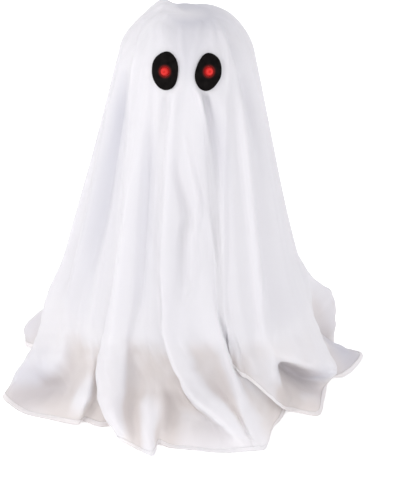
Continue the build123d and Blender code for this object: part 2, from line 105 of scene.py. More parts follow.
# =========================================================================
# shroud: columns of folds round the figure.  Each column has an angle
# (degrees from the face, + to the viewer's right) and a radial offset at six
# heights of the body, then five free points from the hoop down to the hem
# (angle, radius, height).
# =========================================================================
Z_UP = [280.0, 250.0, 215.0, 180.0, 145.0, 110.0]
COLS = [
    # back, left half
    ([-179] * 6, [0.5, 1.5, 3, 4.5, 6, 7],
     [(-179, 114, 79), (-179.5, 122, 58), (-180.5, 132, 38), (-182, 146, 18), (-183.5, 160, 0.6)]),
    ([-168] * 6, [-0.2, -0.3, -0.5, -0.5, 0, 1],
     [(-169, 107.6, 78), (-170.5, 112, 56), (-171.5, 119, 36), (-172.3, 134, 18), (-173, 153, 0.6)]),
    ([-160] * 6, [-0.4, -1.2, -2.2, -3, -3.2, -2.4],
     [(-160, 106.3, 78), (-161.5, 107.5, 56), (-162.8, 110, 36), (-163.5, 115, 18), (-164, 126, 1)]),
    ([-151] * 6, [0.2, 0.5, 0.9, 1.4, 1.9, 2.4],
     [(-151, 108.8, 78), (-151.5, 115, 57), (-152.3, 124, 38), (-153, 140, 19), (-154, 158, 0.6)]),
    ([-142] * 6, [0.6, 2, 3.5, 5, 6.5, 8],
     [(-141, 116, 79), (-141, 125, 59), (-141, 136, 40), (-141.5, 150, 20), (-142.5, 165, 0.6)]),
    ([-132] * 6, [-0.3, -1, -2, -3, -3.5, -2.5],
     [(-132, 106.3, 78), (-133.5, 107.5, 56), (-134.2, 110.5, 36), (-134.5, 117.5, 18), (-135, 130, 1)]),
    ([-124] * 6, [0.3, 0.8, 1.5, 2.5, 3, 4],
     [(-124, 111, 78), (-124.5, 116, 57), (-125, 123, 38), (-125.5, 133, 19), (-126.5, 148, 0.8)]),
    ([-118] * 6, [-0.3, -1, -1.5, -2, -2, -1],
     [(-116, 107, 79), (-116, 109, 60), (-116.5, 113, 40), (-117.5, 122, 20), (-119, 134, 2)]),
    # left side
    ([-112, -112, -111, -110, -109, -108], [0.3, 1, 2, 3.5, 5, 6],
     [(-106, 109, 86), (-106.5, 115, 64), (-107.5, 134, 41), (-108.5, 150, 22), (-110, 151, 1.5)]),
    ([-106, -105, -104, -103, -102, -101], [0, 0, 0, 0, 0.5, 1],
     [(-99, 107.5, 80), (-100, 108.5, 58), (-101, 111, 38), (-103, 117, 18), (-105.5, 128, 1.5)]),
    ([-100, -98, -95, -92, -90, -88], [1, 1.5, 2.5, 4, 6, 8],
     [(-86.7, 122, 78.2), (-82.9, 128, 58.3), (-77.9, 137, 40.2), (-74.1, 152, 21.4), (-71.8, 168.5, 0.6)]),
    ([-91, -90, -88, -86, -84, -82.5], [0, -0.5, -1, -1.5, -1.5, -1],
     [(-73.8, 116, 76.6), (-70.1, 124, 55.2), (-65.5, 139, 34), (-68.0, 134, 9), (-66.5, 168, 0.6)]),
    ([-78, -78, -76.5, -75.5, -75, -75], [0.5, 0, 0, 0, 1, 2.5],
     [(-66.3, 114, 79), (-62.2, 119, 58.5), (-59.5, 130, 38.7), (-60.8, 125, 12), (-58.7, 164.9, 0.6)]),
    ([-60, -62, -61.5, -61, -62, -63], [-2, -5, -7.5, -8.5, -7.5, -5],
     [(-60.4, 109, 75.3), (-57.6, 112, 54.3), (-55.2, 117, 33.5), (-54.6, 126, 13.5), (-51.8, 155, 0.6)]),
    ([-51, -52, -52, -51.5, -52, -52], [0, -0.5, -1, -1, -0.5, 0.5],
     [(-50.2, 109.8, 76), (-48, 112.3, 57.1), (-44.1, 117.5, 40.4), (-40, 134, 23.9), (-41.2, 143.9, 0.6)]),
    ([-49, -49.7, -49.5, -49, -49, -49], [0, -0.7, -1.3, -1.8, -2, -1.5],
     [(-47.6, 108.4, 74.5), (-45.2, 110.4, 55.5), (-43.1, 113.4, 36.8), (-41.7, 123, 14.1), (-41.6, 136.4, 0.6)]),
    # the tube that runs down from beside the left eye
    ([-46.8, -47, -46.8, -46.2, -46, -46], [-0.3, -1, -2, -3, -3.5, -3.5],
     [(-43.7, 107, 73.6), (-41.7, 108.5, 51.3), (-39, 112, 31), (-35.6, 121, 14.2), (-33.4, 134.5, 0.6)]),
    ([-44, -44, -43.5, -42.5, -42, -42], [0, -0.5, -1, -2, -3, -4],
     [(-42, 106.2, 78), (-39, 106.5, 58), (-35, 108, 38), (-31, 114, 18), (-28.5, 122, 1)]),
    ([-42, -41, -40.5, -39.5, -39, -38.8], [0.8, 2, 3, 3.5, 4, 4.5],
     [(-39.5, 112, 78), (-40, 117, 60), (-38, 126, 42), (-33, 137, 22), (-23, 150, 0.6)]),
    ([-39, -38, -37, -36.5, -35.5, -34.5], [1.5, 3.5, 5.5, 7, 8.5, 10],
     [(-34, 119, 79), (-32.5, 126, 61), (-30, 136, 44), (-25, 150, 25), (-20.4, 154.9, 0.6)]),
    ([-33, -32, -31, -30, -29, -28.5], [0.8, 2, 2.5, 2.5, 2.5, 3],
     [(-28.5, 113, 79), (-27.2, 118, 62.4), (-26.2, 128, 44), (-23.6, 141, 23.8), (-17.4, 159.8, 0.6)]),
    ([-27, -26, -25, -24.5, -24, -24.5], [-0.5, -1.5, -2.5, -3.5, -4, -4],
     [(-26.6, 107, 77.3), (-26.5, 108.5, 56.8), (-25.6, 113, 34.4), (-22.6, 127, 15.5), (-13.7, 165.4, 0.6)]),
    # the small fold beside the tube's foot
    ([-24, -23.3, -22.5, -22, -21.5, -21.5], [-0.2, -0.5, -1, -1.5, -2, -2.5],
     [(-20.5, 106.3, 75.8), (-18.8, 107, 56.4), (-16.8, 110, 37.5), (-16.2, 132, 22.5), (-9.9, 172.5, 0.6)]),
    ([-20.5, -20.3, -19.8, -19.5, -19, -18], [0, -0.3, -0.3, -0.6, -1, -1.5],
     [(-17.0, 106.3, 75.2), (-14.9, 107, 55.2), (-12.2, 109.5, 37), (-9.6, 125, 21.5), (-9.7, 149.5, 0.6)]),
    # front lobe: the hollow under the hanging fold, its apron on the floor, the fold
    ([-17.5, -17.5, -17.5, -18, -17.5, -15.5], [-0.3, -0.5, -0.5, -0.6, -1, -1.5],
     [(-13.8, 105.8, 75.8), (-11.8, 106, 54.2), (-8.4, 107, 34.1), (-7.3, 110, 12.5), (-5.8, 154.3, 0.6)]),
    ([-15, -15, -15.5, -16.5, -16.3, -13.8], [-0.3, -0.5, -0.3, -0.3, -0.5, -1],
     [(-11.4, 105.8, 79.2), (-8, 106, 54.8), (-2.3, 109, 31.6), (4.2, 118, 8.9), (0.9, 157.6, 0.6)]),
    ([-13.5, -13.5, -14, -15.2, -15.2, -12.7], [0.2, 0.6, 1, 1.2, 1.2, 0.5],
     [(-9.9, 106.5, 82.6), (-5.6, 107.5, 54.8), (1.8, 112, 23.5), (12.4, 130, 5.5), (10.8, 166.7, 0.6)]),
    ([-10.5, -10.8, -11.5, -13, -13.5, -11], [0.8, 2, 3, 3.5, 4, 5.5],
     [(-10.3, 112, 91.8), (-5.9, 119, 64.9), (1.5, 132, 39.5), (11.8, 153, 21.9), (18.6, 169.5, 0.6)]),
    ([-2, -1, -1, -2, -3, -2], [0, 0.3, -0.5, -1.5, -1.5, -0.5],
     [(-3.6, 111, 86.3), (1.7, 116, 63.7), (8, 125, 40.5), (15.6, 146, 26.3), (19.7, 170.2, 0.6)]),
    ([7, 7, 8, 9, 9, 9], [0.3, 0.6, 1, 1.5, 1.5, 1],
     [(6.4, 106.6, 83), (10, 106.2, 58.3), (15.1, 112, 35.5), (17.9, 136, 23), (20.6, 170.6, 0.6)]),
    ([11, 11.5, 12.5, 13, 13, 13.5], [0, 0, 0, 0.3, 0.6, 1.5],
     [(15.2, 111.8, 86), (17.5, 116, 63.8), (20.9, 126, 38.5), (19.8, 142, 23.5), (21.5, 170.9, 0.6)]),
    ([12.3, 13, 14.2, 14.8, 14.8, 15], [-0.4, -0.8, -1, -1, -1, -0.8],
     [(16.2, 107.6, 84), (20.8, 110.5, 56.8), (27.3, 118.5, 26.2), (27, 136, 9.6), (23, 171.2, 0.6)]),
    ([13.6, 14.5, 15.8, 16.3, 16.2, 16], [-0.8, -1.5, -1.5, -1.2, -1.2, -1.2],
     [(17, 106.6, 82), (23.1, 109, 53.4), (31.5, 116, 24.6), (36, 124, 7.9), (31.5, 141.4, 0.6)]),
    # the hem doubles back under the front lobe and comes out as the edge of the
    # right flap
    ([15, 16, 17.3, 17.6, 17.2, 16.8], [-1.2, -2.0, -1.8, -1.2, -1.0, -1.0],
     [(17.8, 105.8, 83), (26, 106.5, 62), (37, 108.5, 42), (47, 110.5, 21), (52, 111, 2)]),
    ([17, 18, 19, 18.9, 18.3, 17.6], [-1.1, -2.0, -1.8, -1.2, -0.7, -0.3],
     [(18.5, 106.4, 86), (22, 106, 72), (27, 107, 58), (33, 109, 44), (38, 112, 30)]),
    ([19.5, 20, 20.4, 20, 19.4, 18.6], [-0.6, -1.2, -1.2, -0.7, -0.1, 0.8],
     [(19, 108.3, 90), (19, 108.6, 82), (19.2, 109, 73), (19.7, 109.5, 64), (21, 110.2, 55)]),
    ([24, 24, 23.5, 23, 22.5, 22.5], [0, 0, 0, 0.5, 1, 1.5],
     [(23.5, 109, 85), (24, 109.6, 75), (24.6, 110.4, 65), (25.3, 111.6, 54), (26, 113.4, 44)]),
    ([31, 30, 28, 27.5, 27, 27], [0.5, 1, 1.5, 2, 2, 2.5],
     [(28, 110.2, 83), (28.3, 111, 71), (28.8, 112.3, 59), (29.4, 114.6, 47), (30, 117.4, 36)]),
    ([37, 36, 34.5, 34, 33.5, 33.5], [0.2, 0.5, 1, 1.5, 2, 3],
     [(34, 111.2, 80), (34, 112.8, 66), (34.3, 115, 52), (34.7, 118.4, 38), (35, 122.4, 24)]),
    ([44, 42.5, 41, 40, 38.8, 37.7], [1.5, 3, 4.5, 5.5, 6.5, 6.5],
     [(37, 114, 82), (38.0, 118, 66), (38.6, 118.5, 48), (38.9, 119.5, 29), (39.8, 126, 12.5)]),
    ([48, 47, 46.5, 46, 45, 44.5], [0, -0.8, -1.5, -1.8, -1.8, -1.4],
     [(42, 113, 82), (40.4, 121.5, 58.5), (42.5, 117, 44), (44.5, 117.5, 23), (47.6, 120.5, 0.6)]),
    ([52, 50.5, 50, 49.5, 49.5, 49.5], [-1.5, -2.6, -3.4, -3.8, -3.4, -2.4],
     [(48.5, 112.5, 79), (47.3, 129, 51.4), (51.5, 98, 40), (51.1, 115, 14), (49.2, 131, 0.6)]),
    ([61, 60, 59, 58.5, 58, 58], [-0.3, -0.6, -0.9, -1.0, -0.8, 0],
     [(57, 114, 76), (55.5, 133, 40), (59, 95, 30), (55.4, 124, 10), (51.8, 145, 0.6)]),
    ([72, 70, 68, 67, 66, 66], [0.5, 0.5, 0, -0.5, -1, 0.5],
     [(65, 114, 76), (62.8, 137, 30.2), (66, 111, 16), (66.5, 122, 8), (66.3, 131.1, 0.6)]),
    ([77, 75, 74, 73, 72, 72], [-0.2, -0.6, -1, -1.5, -1.5, -1],
     [(72, 112, 78), (68, 137, 29.7), (73.6, 136, 16.9), (78, 130, 7), (83.8, 126.9, 0.6)]),
    # right side
    ([84, 82, 81, 80, 79, 78], [-1, -2, -2.5, -3, -3, -2],
     [(78, 108, 80), (79.5, 112, 60), (81, 119, 40), (83, 128, 19), (85.2, 137.1, 0.6)]),
    ([92, 91, 90, 89, 88, 88], [-1, -2, -3, -4, -4, -3],
     [(88, 107, 80), (89.5, 109, 61), (93, 116.5, 34), (99, 138, 14), (103, 157, 1)]),
    ([99, 99, 98, 98, 97, 97], [-1, -2, -3, -4, -4.5, -3.5],
     [(97, 106, 82), (97.5, 107.5, 62), (99, 112, 42), (102.5, 119, 21), (105, 125, 1)]),
    ([107, 107, 106, 106, 106, 106], [-1, -2, -3, -4, -4.5, -4],
     [(105, 104.5, 93), (106, 114, 76), (107.5, 133, 57), (109.5, 138, 28), (112, 138.5, 0.8)]),
    ([117, 117, 116, 116, 116, 116], [-0.5, -1, -2, -2.5, -2.5, -2],
     [(116, 107, 82), (117, 111, 61), (118, 119.5, 40), (119, 128, 20), (120, 136, 1.5)]),
    # back, right half
    ([126, 126, 125, 125, 125, 125], [0.2, 0.5, 1, 2, 3, 4],
     [(124, 111, 78), (125, 118, 57), (126, 126, 37), (127, 140, 18), (127.5, 158, 0.6)]),
    ([134] * 6, [0, 0.1, 0.2, 0.4, 0.6, 1],
     [(134, 108.2, 78), (135, 112.5, 56), (136, 119, 36), (136.8, 133, 17), (137.5, 152, 0.6)]),
    ([144, 144, 143.5, 143, 143, 143], [-0.3, -1, -2, -2.8, -3, -2.2],
     [(143, 106.3, 79), (143.6, 108, 58), (144.4, 111, 39), (145, 117, 19), (145.5, 129, 1)]),
    ([153] * 6, [0.4, 1.2, 2.2, 3.4, 5, 6.5],
     [(153, 114, 78), (152.8, 123, 57), (153, 134, 38), (153.6, 148, 18), (154, 163, 0.6)]),
    ([162] * 6, [0.2, 0.5, 1, 1.6, 2.2, 3],
     [(162, 109.5, 78), (162, 115, 56), (162.3, 122.5, 37), (162.9, 136, 18), (163.5, 152, 0.6)]),
    ([171] * 6, [-0.3, -1, -2, -2.5, -2.5, -1.5],
     [(171, 106.3, 78), (170.6, 108, 56), (170.3, 111, 37), (170.2, 118, 17), (170, 129, 1)]),
]
assert len(COLS) % 2 == 0
CROWN_ROWS = [342.5, 335.0, 324.0, 311.0, 297.0]


def polar(th, r, z):
    a = math.radians(th)
    return (r * math.sin(a), -r * math.cos(a), z)


def net():
    cols = []
    for ths, drs, low in COLS:
        col = []
        for z in CROWN_ROWS:
            k = float(smooth(345.0, 285.0, z))
            col.append(polar(ths[0], float(base_r(z)) + drs[0] * k * 0.6, z))
        for z, th, dr in zip(Z_UP, ths, drs):
            col.append(polar(th, float(base_r(z)) + dr, z))
        for th, r, z in low:
            col.append(polar(th, r, z))
        cols.append(col)
    return np.array(cols)                      # columns, rows, 3


def spline(points, sub, closed):
    """Centripetal Catmull-Rom through points (n, m, 3) along axis 0."""
    p = np.asarray(points, float)
    n = len(p)
    if closed:
        prev, nxt, nxt2 = np.roll(p, 1, 0), np.roll(p, -1, 0), np.roll(p, -2, 0)
    else:
        ext = np.concatenate([2 * p[:1] - p[1:2], p, 2 * p[-1:] - p[-2:-1]])
        prev, nxt, nxt2 = ext[:-3], p[1:], ext[3:]
        p = p[:-1]
    def gap(a, b):
        return np.maximum(np.linalg.norm(b - a, axis=-1, keepdims=True), 1e-4) ** 0.5
    d0, d1, d2 = gap(prev, p), gap(p, nxt), gap(nxt, nxt2)
    m0 = d1 * ((p - prev) / d0 - (nxt - prev) / (d0 + d1) + (nxt - p) / d1)
    m1 = d1 * ((nxt - p) / d1 - (nxt2 - p) / (d1 + d2) + (nxt2 - nxt) / d2)
    out = []
    for k in range(sub):
        t = k / sub
        h = (2 * t ** 3 - 3 * t ** 2 + 1, t ** 3 - 2 * t ** 2 + t,
             -2 * t ** 3 + 3 * t ** 2, t ** 3 - t ** 2)
        out.append(h[0] * p + h[1] * m0 + h[2] * nxt + h[3] * m1)
    res = np.stack(out, 1).reshape((-1,) + p.shape[1:])
    if not closed:
        res = np.concatenate([res, np.asarray(points, float)[-1:]])
    return res


SUB_A, SUB_Z = 6, 9
grid = spline(net(), SUB_A, True)              # round the figure
grid = spline(np.swapaxes(grid, 0, 1), SUB_Z, False)
ROWS, NCOL = grid.shape[0], grid.shape[1]      # rows from crown to hem

# finer creases on the body: (height, angle) track, half width in mm, and
# height in mm at the same points; + stands out, - goes in
CREASES = [
    # the deep fold below the right eye and the edge beside it
    ([(299, 14.6), (290, 16), (283, 16.8), (267, 19.7), (244, 22.4), (205, 21.6), (175, 20)],
     [2.0, 2.4, 2.6, 3.2, 4, 4.5, 5], [-1.8, -3.7, -2.8, -1.5, -0.9, -0.4, 0]),
    ([(292, 18.5), (283, 20.5), (262, 24.5), (235, 26), (205, 25)], [3, 4.2, 6, 6.5, 6], [0, -1.0, -1.5, -1.2, 0]),
    ([(303, 6.5), (297, 8.5), (272, 13.5), (236, 18), (205, 19.2), (180, 19)],
     [2, 2.2, 2.4, 2.6, 2.6, 3], [0.3, 1.3, 1.9, 1.4, 0.8, 0]),
    ([(286, 32), (222, 24.5), (155, 20.3), (120, 18.4), (65, 17.2)], [2.2, 2.2, 2.2, 2.2, 2.2], [0.8, 1.5, 1.7, 1.3, 0]),
    ([(284, 45.5), (236, 42), (194, 40.1), (116, 36.8), (62, 34.5)], [2.2, 2.2, 2.2, 2.4, 2.4], [0.8, 1.5, 1.6, 1.4, 0.3]),
    # ridge between the eyes and the shade below the left eye
    ([(300, -8.5), (284, -11), (246, -12.6), (200, -13.2), (158, -13.9)], [3.2, 3.6, 3.8, 4, 4], [0.6, 1.9, 1.9, 1.2, 0]),
    ([(297, -17), (285, -16.5), (270, -17), (248, -18)], [3, 3.2, 3.2, 3.2], [-0.8, -2.0, -1.4, 0]),
    # the kinked fold down the front
    ([(245, -7), (229, -6.3), (187, 1.5), (162, -1.5), (136, -1.4), (110, -3)], [2.4, 2.4, 2.8, 3, 3, 3.5], [0, -2.0, -3.4, -3.2, -2.4, 0]),
    ([(262, -2), (229, 2.7), (201, 6.9), (172, 2.6), (143, 3.2), (122, 1.2), (102, -4)], [2.5, 2.3, 2.3, 2.3, 2.3, 2.4, 2.6],
     [0.3, 1.8, 3.0, 2.4, 2.4, 1.9, 0]),
    ([(195, 12), (172, 14.4), (142, 16.2), (88, 16.0), (61, 18.3)], [2.2, 2.2, 2.2, 2.4, 2.6], [0, 1.2, 1.5, 1.4, 0.8]),
    # left of the middle
    ([(252, -27.5), (237, -26.8), (180, -24.8), (110, -24.0)], [2, 2, 2.2, 2.4], [0.2, 1.2, 1.4, 0.5]),
    ([(305, -33), (280, -33), (240, -31), (200, -30)], [2.6, 2.8, 3, 3], [0.4, 0.9, 0.8, 0]),
    ([(341, -70), (337, -66), (320, -53), (305, -51.5), (280, -48.1), (252, -45), (221, -43.5), (175, -43.9)],
     [2.5, 3, 3.2, 3.2, 3.2, 3, 2.6, 2.6], [0.5, 1.3, 2.0, 2.2, 2.0, 1.7, 1.4, 0.8]),
    ([(338, -85), (328, -70), (310, -63), (280, -61.7), (240, -60.6), (180, -62)], [2.4, 2.8, 3, 3.2, 3.5, 4], [-0.2, -1.0, -1.4, -2.0, -1.8, 0]),
    ([(336, -92), (324, -78), (308, -74), (274, -75.4), (230, -77)], [2.6, 2.8, 3, 3.2, 3.4], [0.3, 1.1, 1.5, 1.3, 0]),
    ([(330, -101), (300, -96), (250, -94), (190, -92)], [3, 3, 3.4, 3.6], [-0.2, -0.8, -1.0, 0]),
    # right of the right eye
    ([(342, 75), (335, 50), (320, 40), (303, 37), (286, 32)], [2.5, 2.8, 3, 3, 2.6], [0.4, 1.2, 1.7, 1.7, 0.8]),
    ([(340, 66), (330, 52), (319, 50), (294, 52.6), (272, 56), (232, 57), (188, 55)], [2.2, 2.4, 2.6, 3, 3.4, 4, 4.5],
     [-0.4, -0.9, -1.3, -2.0, -2.0, -1.2, 0]),
    ([(339, 92), (336, 83), (323, 68), (303, 66), (271, 70), (230, 72)], [2.4, 2.6, 2.8, 3, 3.4, 3.6], [0.3, 0.8, 1.6, 1.8, 1.3, 0]),
    ([(330, 88), (303, 84), (262, 84), (210, 84)], [2.8, 3, 3.4, 4], [-0.3, -1.0, -1.3, 0]),
    # down the brow from the pinched crown
    ([(344, -62), (340, -48), (333, -30), (324, -24)], [4.5, 4.2, 3.6, 3.2], [0.6, 0.9, 0.8, 0]),
    ([(343, -95), (340, -66), (331, -42), (322, -37)], [3.2, 3.2, 2.8, 2.6], [0.3, 0.8, 0.8, 0]),
    ([(344, -20), (338, -9), (330, -6), (312, -3.5), (298, -4)], [2.4, 2.4, 2.4, 2.4, 2.4], [0.4, 0.9, 1.0, 0.9, 0.4]),
    ([(344, 40), (338, 18), (328, 10), (312, 5.5), (300, 6)], [2.2, 2.2, 2.2, 2, 2], [0.2, 0.6, 0.8, 0.7, 0.3]),
    ([(343, 62), (338, 42), (331, 31), (324, 27)], [2.4, 2.4, 2.4, 2.4], [0.3, 0.9, 0.8, 0]),
    # crests of the folds that spread on the floor
    ([(112, -11), (92, -10.3), (65, -5.9), (39.5, 1.5), (22, 11.8), (8, 16.5)], [2.4, 2.4, 2.5, 2.6, 2.6, 2.6], [0, 1.1, 1.5, 1.6, 1.4, 0.4]),
    ([(104, -38.9), (78, -39.5), (60, -40), (42, -38), (22, -33), (8, -26)], [2.4, 2.4, 2.5, 2.6, 2.6, 2.6], [0, 1.0, 1.3, 1.4, 1.3, 0.4]),
    ([(86, 3.5), (77, 5), (48, 10.9), (34, 16)], [2.4, 2.5, 2.6, 2.6], [0, 0.9, 1.4, 0.5]),
    ([(84, 15.8), (66, 17.8), (48, 19.6), (34, 20.6)], [2.4, 2.5, 2.6, 2.6], [0, 0.9, 1.4, 0.6]),
    ([(70, -66), (52, -62), (36, -61), (22, -63)], [3, 3, 3.2, 3.4], [0, 1.1, 1.5, 0.4]),
    ([(62, -23), (46, -20), (30, -17), (18, -14)], [2.6, 2.6, 2.8, 2.8], [0, 1.0, 1.3, 0.3]),
    ([(78, 29), (60, 30), (44, 31)], [2.6, 2.6, 2.8], [0, 1.0, 0.6]),
    # round the back
    ([(336, 118), (310, 116), (260, 116), (190, 116)], [3, 3, 3.5, 4], [0.3, 1.1, 1.3, 0]),
    ([(338, 158), (312, 155), (262, 154), (180, 153)], [3, 3, 3.2, 3.5], [0.3, 1.2, 1.5, 0.4]),
    ([(336, 172), (310, 171), (250, 171), (180, 171)], [3, 3, 3.5, 4], [-0.2, -0.9, -1.3, 0]),
    ([(338, -176), (312, -174), (262, -172), (190, -170)], [3, 3, 3.2, 3.5], [0.3, 1.2, 1.4, 0.4]),
    ([(338, -140), (312, -141), (262, -142), (190, -142)], [3, 3, 3.2, 3.5], [0.3, 1.0, 1.2, 0]),
    ([(334, -118), (308, -120), (258, -121), (190, -122)], [3, 3, 3.5, 4], [-0.2, -0.9, -1.2, 0]),
]
P = grid.reshape(-1, 3)


def ring_normals(g):
    """Vertex normals of the (rows, columns) grid, closed round the columns."""
    du = np.roll(g, -1, 1) - np.roll(g, 1, 1)
    dv = np.empty_like(g)
    dv[1:-1] = g[2:] - g[:-2]
    dv[0] = g[1] - g[0]
    dv[-1] = g[-1] - g[-2]
    n = np.cross(dv, du)
    n /= np.maximum(np.linalg.norm(n, axis=-1, keepdims=True), 1e-9)
    return n


def eye_mask(q):
    """0 under the eye patches, 1 away from them."""
    m = np.ones(q.shape[:-1])
    for s in (-1, 1):
        o, n, w, v = eye_frame(s)
        d = q - o
        x, y = d @ w, d @ v - 1.0
        e = np.sqrt((x / 14.5) ** 2 + (y / 19.0) ** 2)
        m = np.minimum(m, np.where(d @ n > -25, smooth(0.95, 1.3, e), 1.0))
    return m


nrm = ring_normals(grid)
if nrm[ROWS // 2, 0] @ np.array([0, 1.0, 0]) < 0:
    nrm = -nrm
th_all = np.degrees(np.arctan2(grid[..., 0], -grid[..., 1]))
disp = np.zeros(grid.shape[:2])
for track, half, amp in CREASES:
    z = np.array([p[0] for p in track])[::-1]
    a = np.interp(grid[..., 2], z, np.array([p[1] for p in track])[::-1])
    w = np.interp(grid[..., 2], z, np.array(half)[::-1])
    h = np.interp(grid[..., 2], z, np.array(amp)[::-1], left=0, right=0)
    fade = smooth(z[0] - 20, z[0], grid[..., 2]) * (1 - smooth(z[-1], z[-1] + 10, grid[..., 2]))
    d = (th_all - a + 180) % 360 - 180
    d = np.radians(d) * np.hypot(grid[..., 0], grid[..., 1]) / w
    disp += fade * h * (np.exp(-0.5 * d * d) * 1.25 - 0.25 * np.exp(-0.5 * (d / 2.6) ** 2))
# soft uneven pleating all round
arc = np.radians(th_all)
zz = grid[..., 2]
for k, (f, ph, drift, amp) in enumerate([(29, 0.4, 0.9, 0.28), (41, 2.1, -1.3, 0.14), (19, 4.0, 0.7, 0.34)]):
    disp += amp * np.sin(f * arc + ph + drift * np.sin(zz / 47.0 + k)) * smooth(342, 300, zz) * (0.5 + 0.5 * np.sin(3 * arc + k + zz / 60.0))
disp *= 1.15 * eye_mask(grid)
# small soft wrinkles in the loose lower part
along = np.concatenate([np.zeros((1, NCOL)), np.cumsum(np.linalg.norm(grid[1:] - grid[:-1], axis=-1), 0)])
for k, (fa, fb, ph) in enumerate([(0.42, 0.10, 0.3), (0.31, -0.22, 1.7), (0.17, 0.30, 2.9), (0.55, -0.33, 4.4), (0.24, 0.43, 5.1)]):
    wave = np.sin(fa * np.round(110.0 * fa) / (110.0 * fa) * 110.0 * arc + fb * along + ph)
    disp += 0.36 * wave * smooth(105, 50, zz) * smooth(0.5, 10, zz) * (0.55 + 0.45 * np.sin(2 * arc + k + along / 25.0))
grid = grid + nrm * disp[..., None]

# crown: a soft pinched fold left of the middle, and a slight flat beside it
cx, cy = grid[..., 0], grid[..., 1]
top = smooth(318, 336, grid[..., 2])
side = cx + 18 + 0.04 * cy
ridge = np.exp(-0.5 * (side / np.where(side > 0, 4.4, 9.0)) ** 2) * np.exp(-0.5 * ((cy - 12) / 23.0) ** 2)
ridge = ridge * (1 + 0.16 * np.sin(cy / 2.6 + 0.7 * np.sin(cx / 3.0)))
flat = np.exp(-0.5 * ((cx - 16) / 9.0) ** 2) * np.exp(-0.5 * ((cy - 4) / 18.0) ** 2)
shoulder = np.exp(-0.5 * ((np.hypot(cx, cy) - 37.0) / 9.0) ** 2)
shoulder = shoulder * smooth(6, 25, np.abs(cx))
grid[..., 2] += top * (5.8 * ridge - 1.4 * flat + 2.6 * shoulder)
grid[..., 2] = np.maximum(grid[..., 2], 0.6)



# =========================================================================
# the cloth settles: an inextensible sheet with a least fold radius, held at
# the crown and the eyes, resting on the head, the hoop and the floor
# =========================================================================
def least_radius(z):
    """What the sheet rests on from inside: head form, lining and hoop."""
    head_in = 56.2 * np.sqrt(np.clip(1 - ((z - CROWN_Z) / 40.7) ** 2, 0, 1)) + 2.0
    body = base_r(z) - np.interp(z, [88, 105, 240, 262], [5.0, 9.0, 9.0, 5.0])
    r = np.where(z > 262, np.minimum(np.maximum(head_in, body - 2), base_r(z)), body)
    ring = 106.0 - 0.03 * (z - 79.0) ** 2
    return np.where(z > 79, np.maximum(r, ring), np.maximum(78.0, ring))


GRAVITY = 160.0      # mm/s2: settled slowly, so the sheet does not stretch


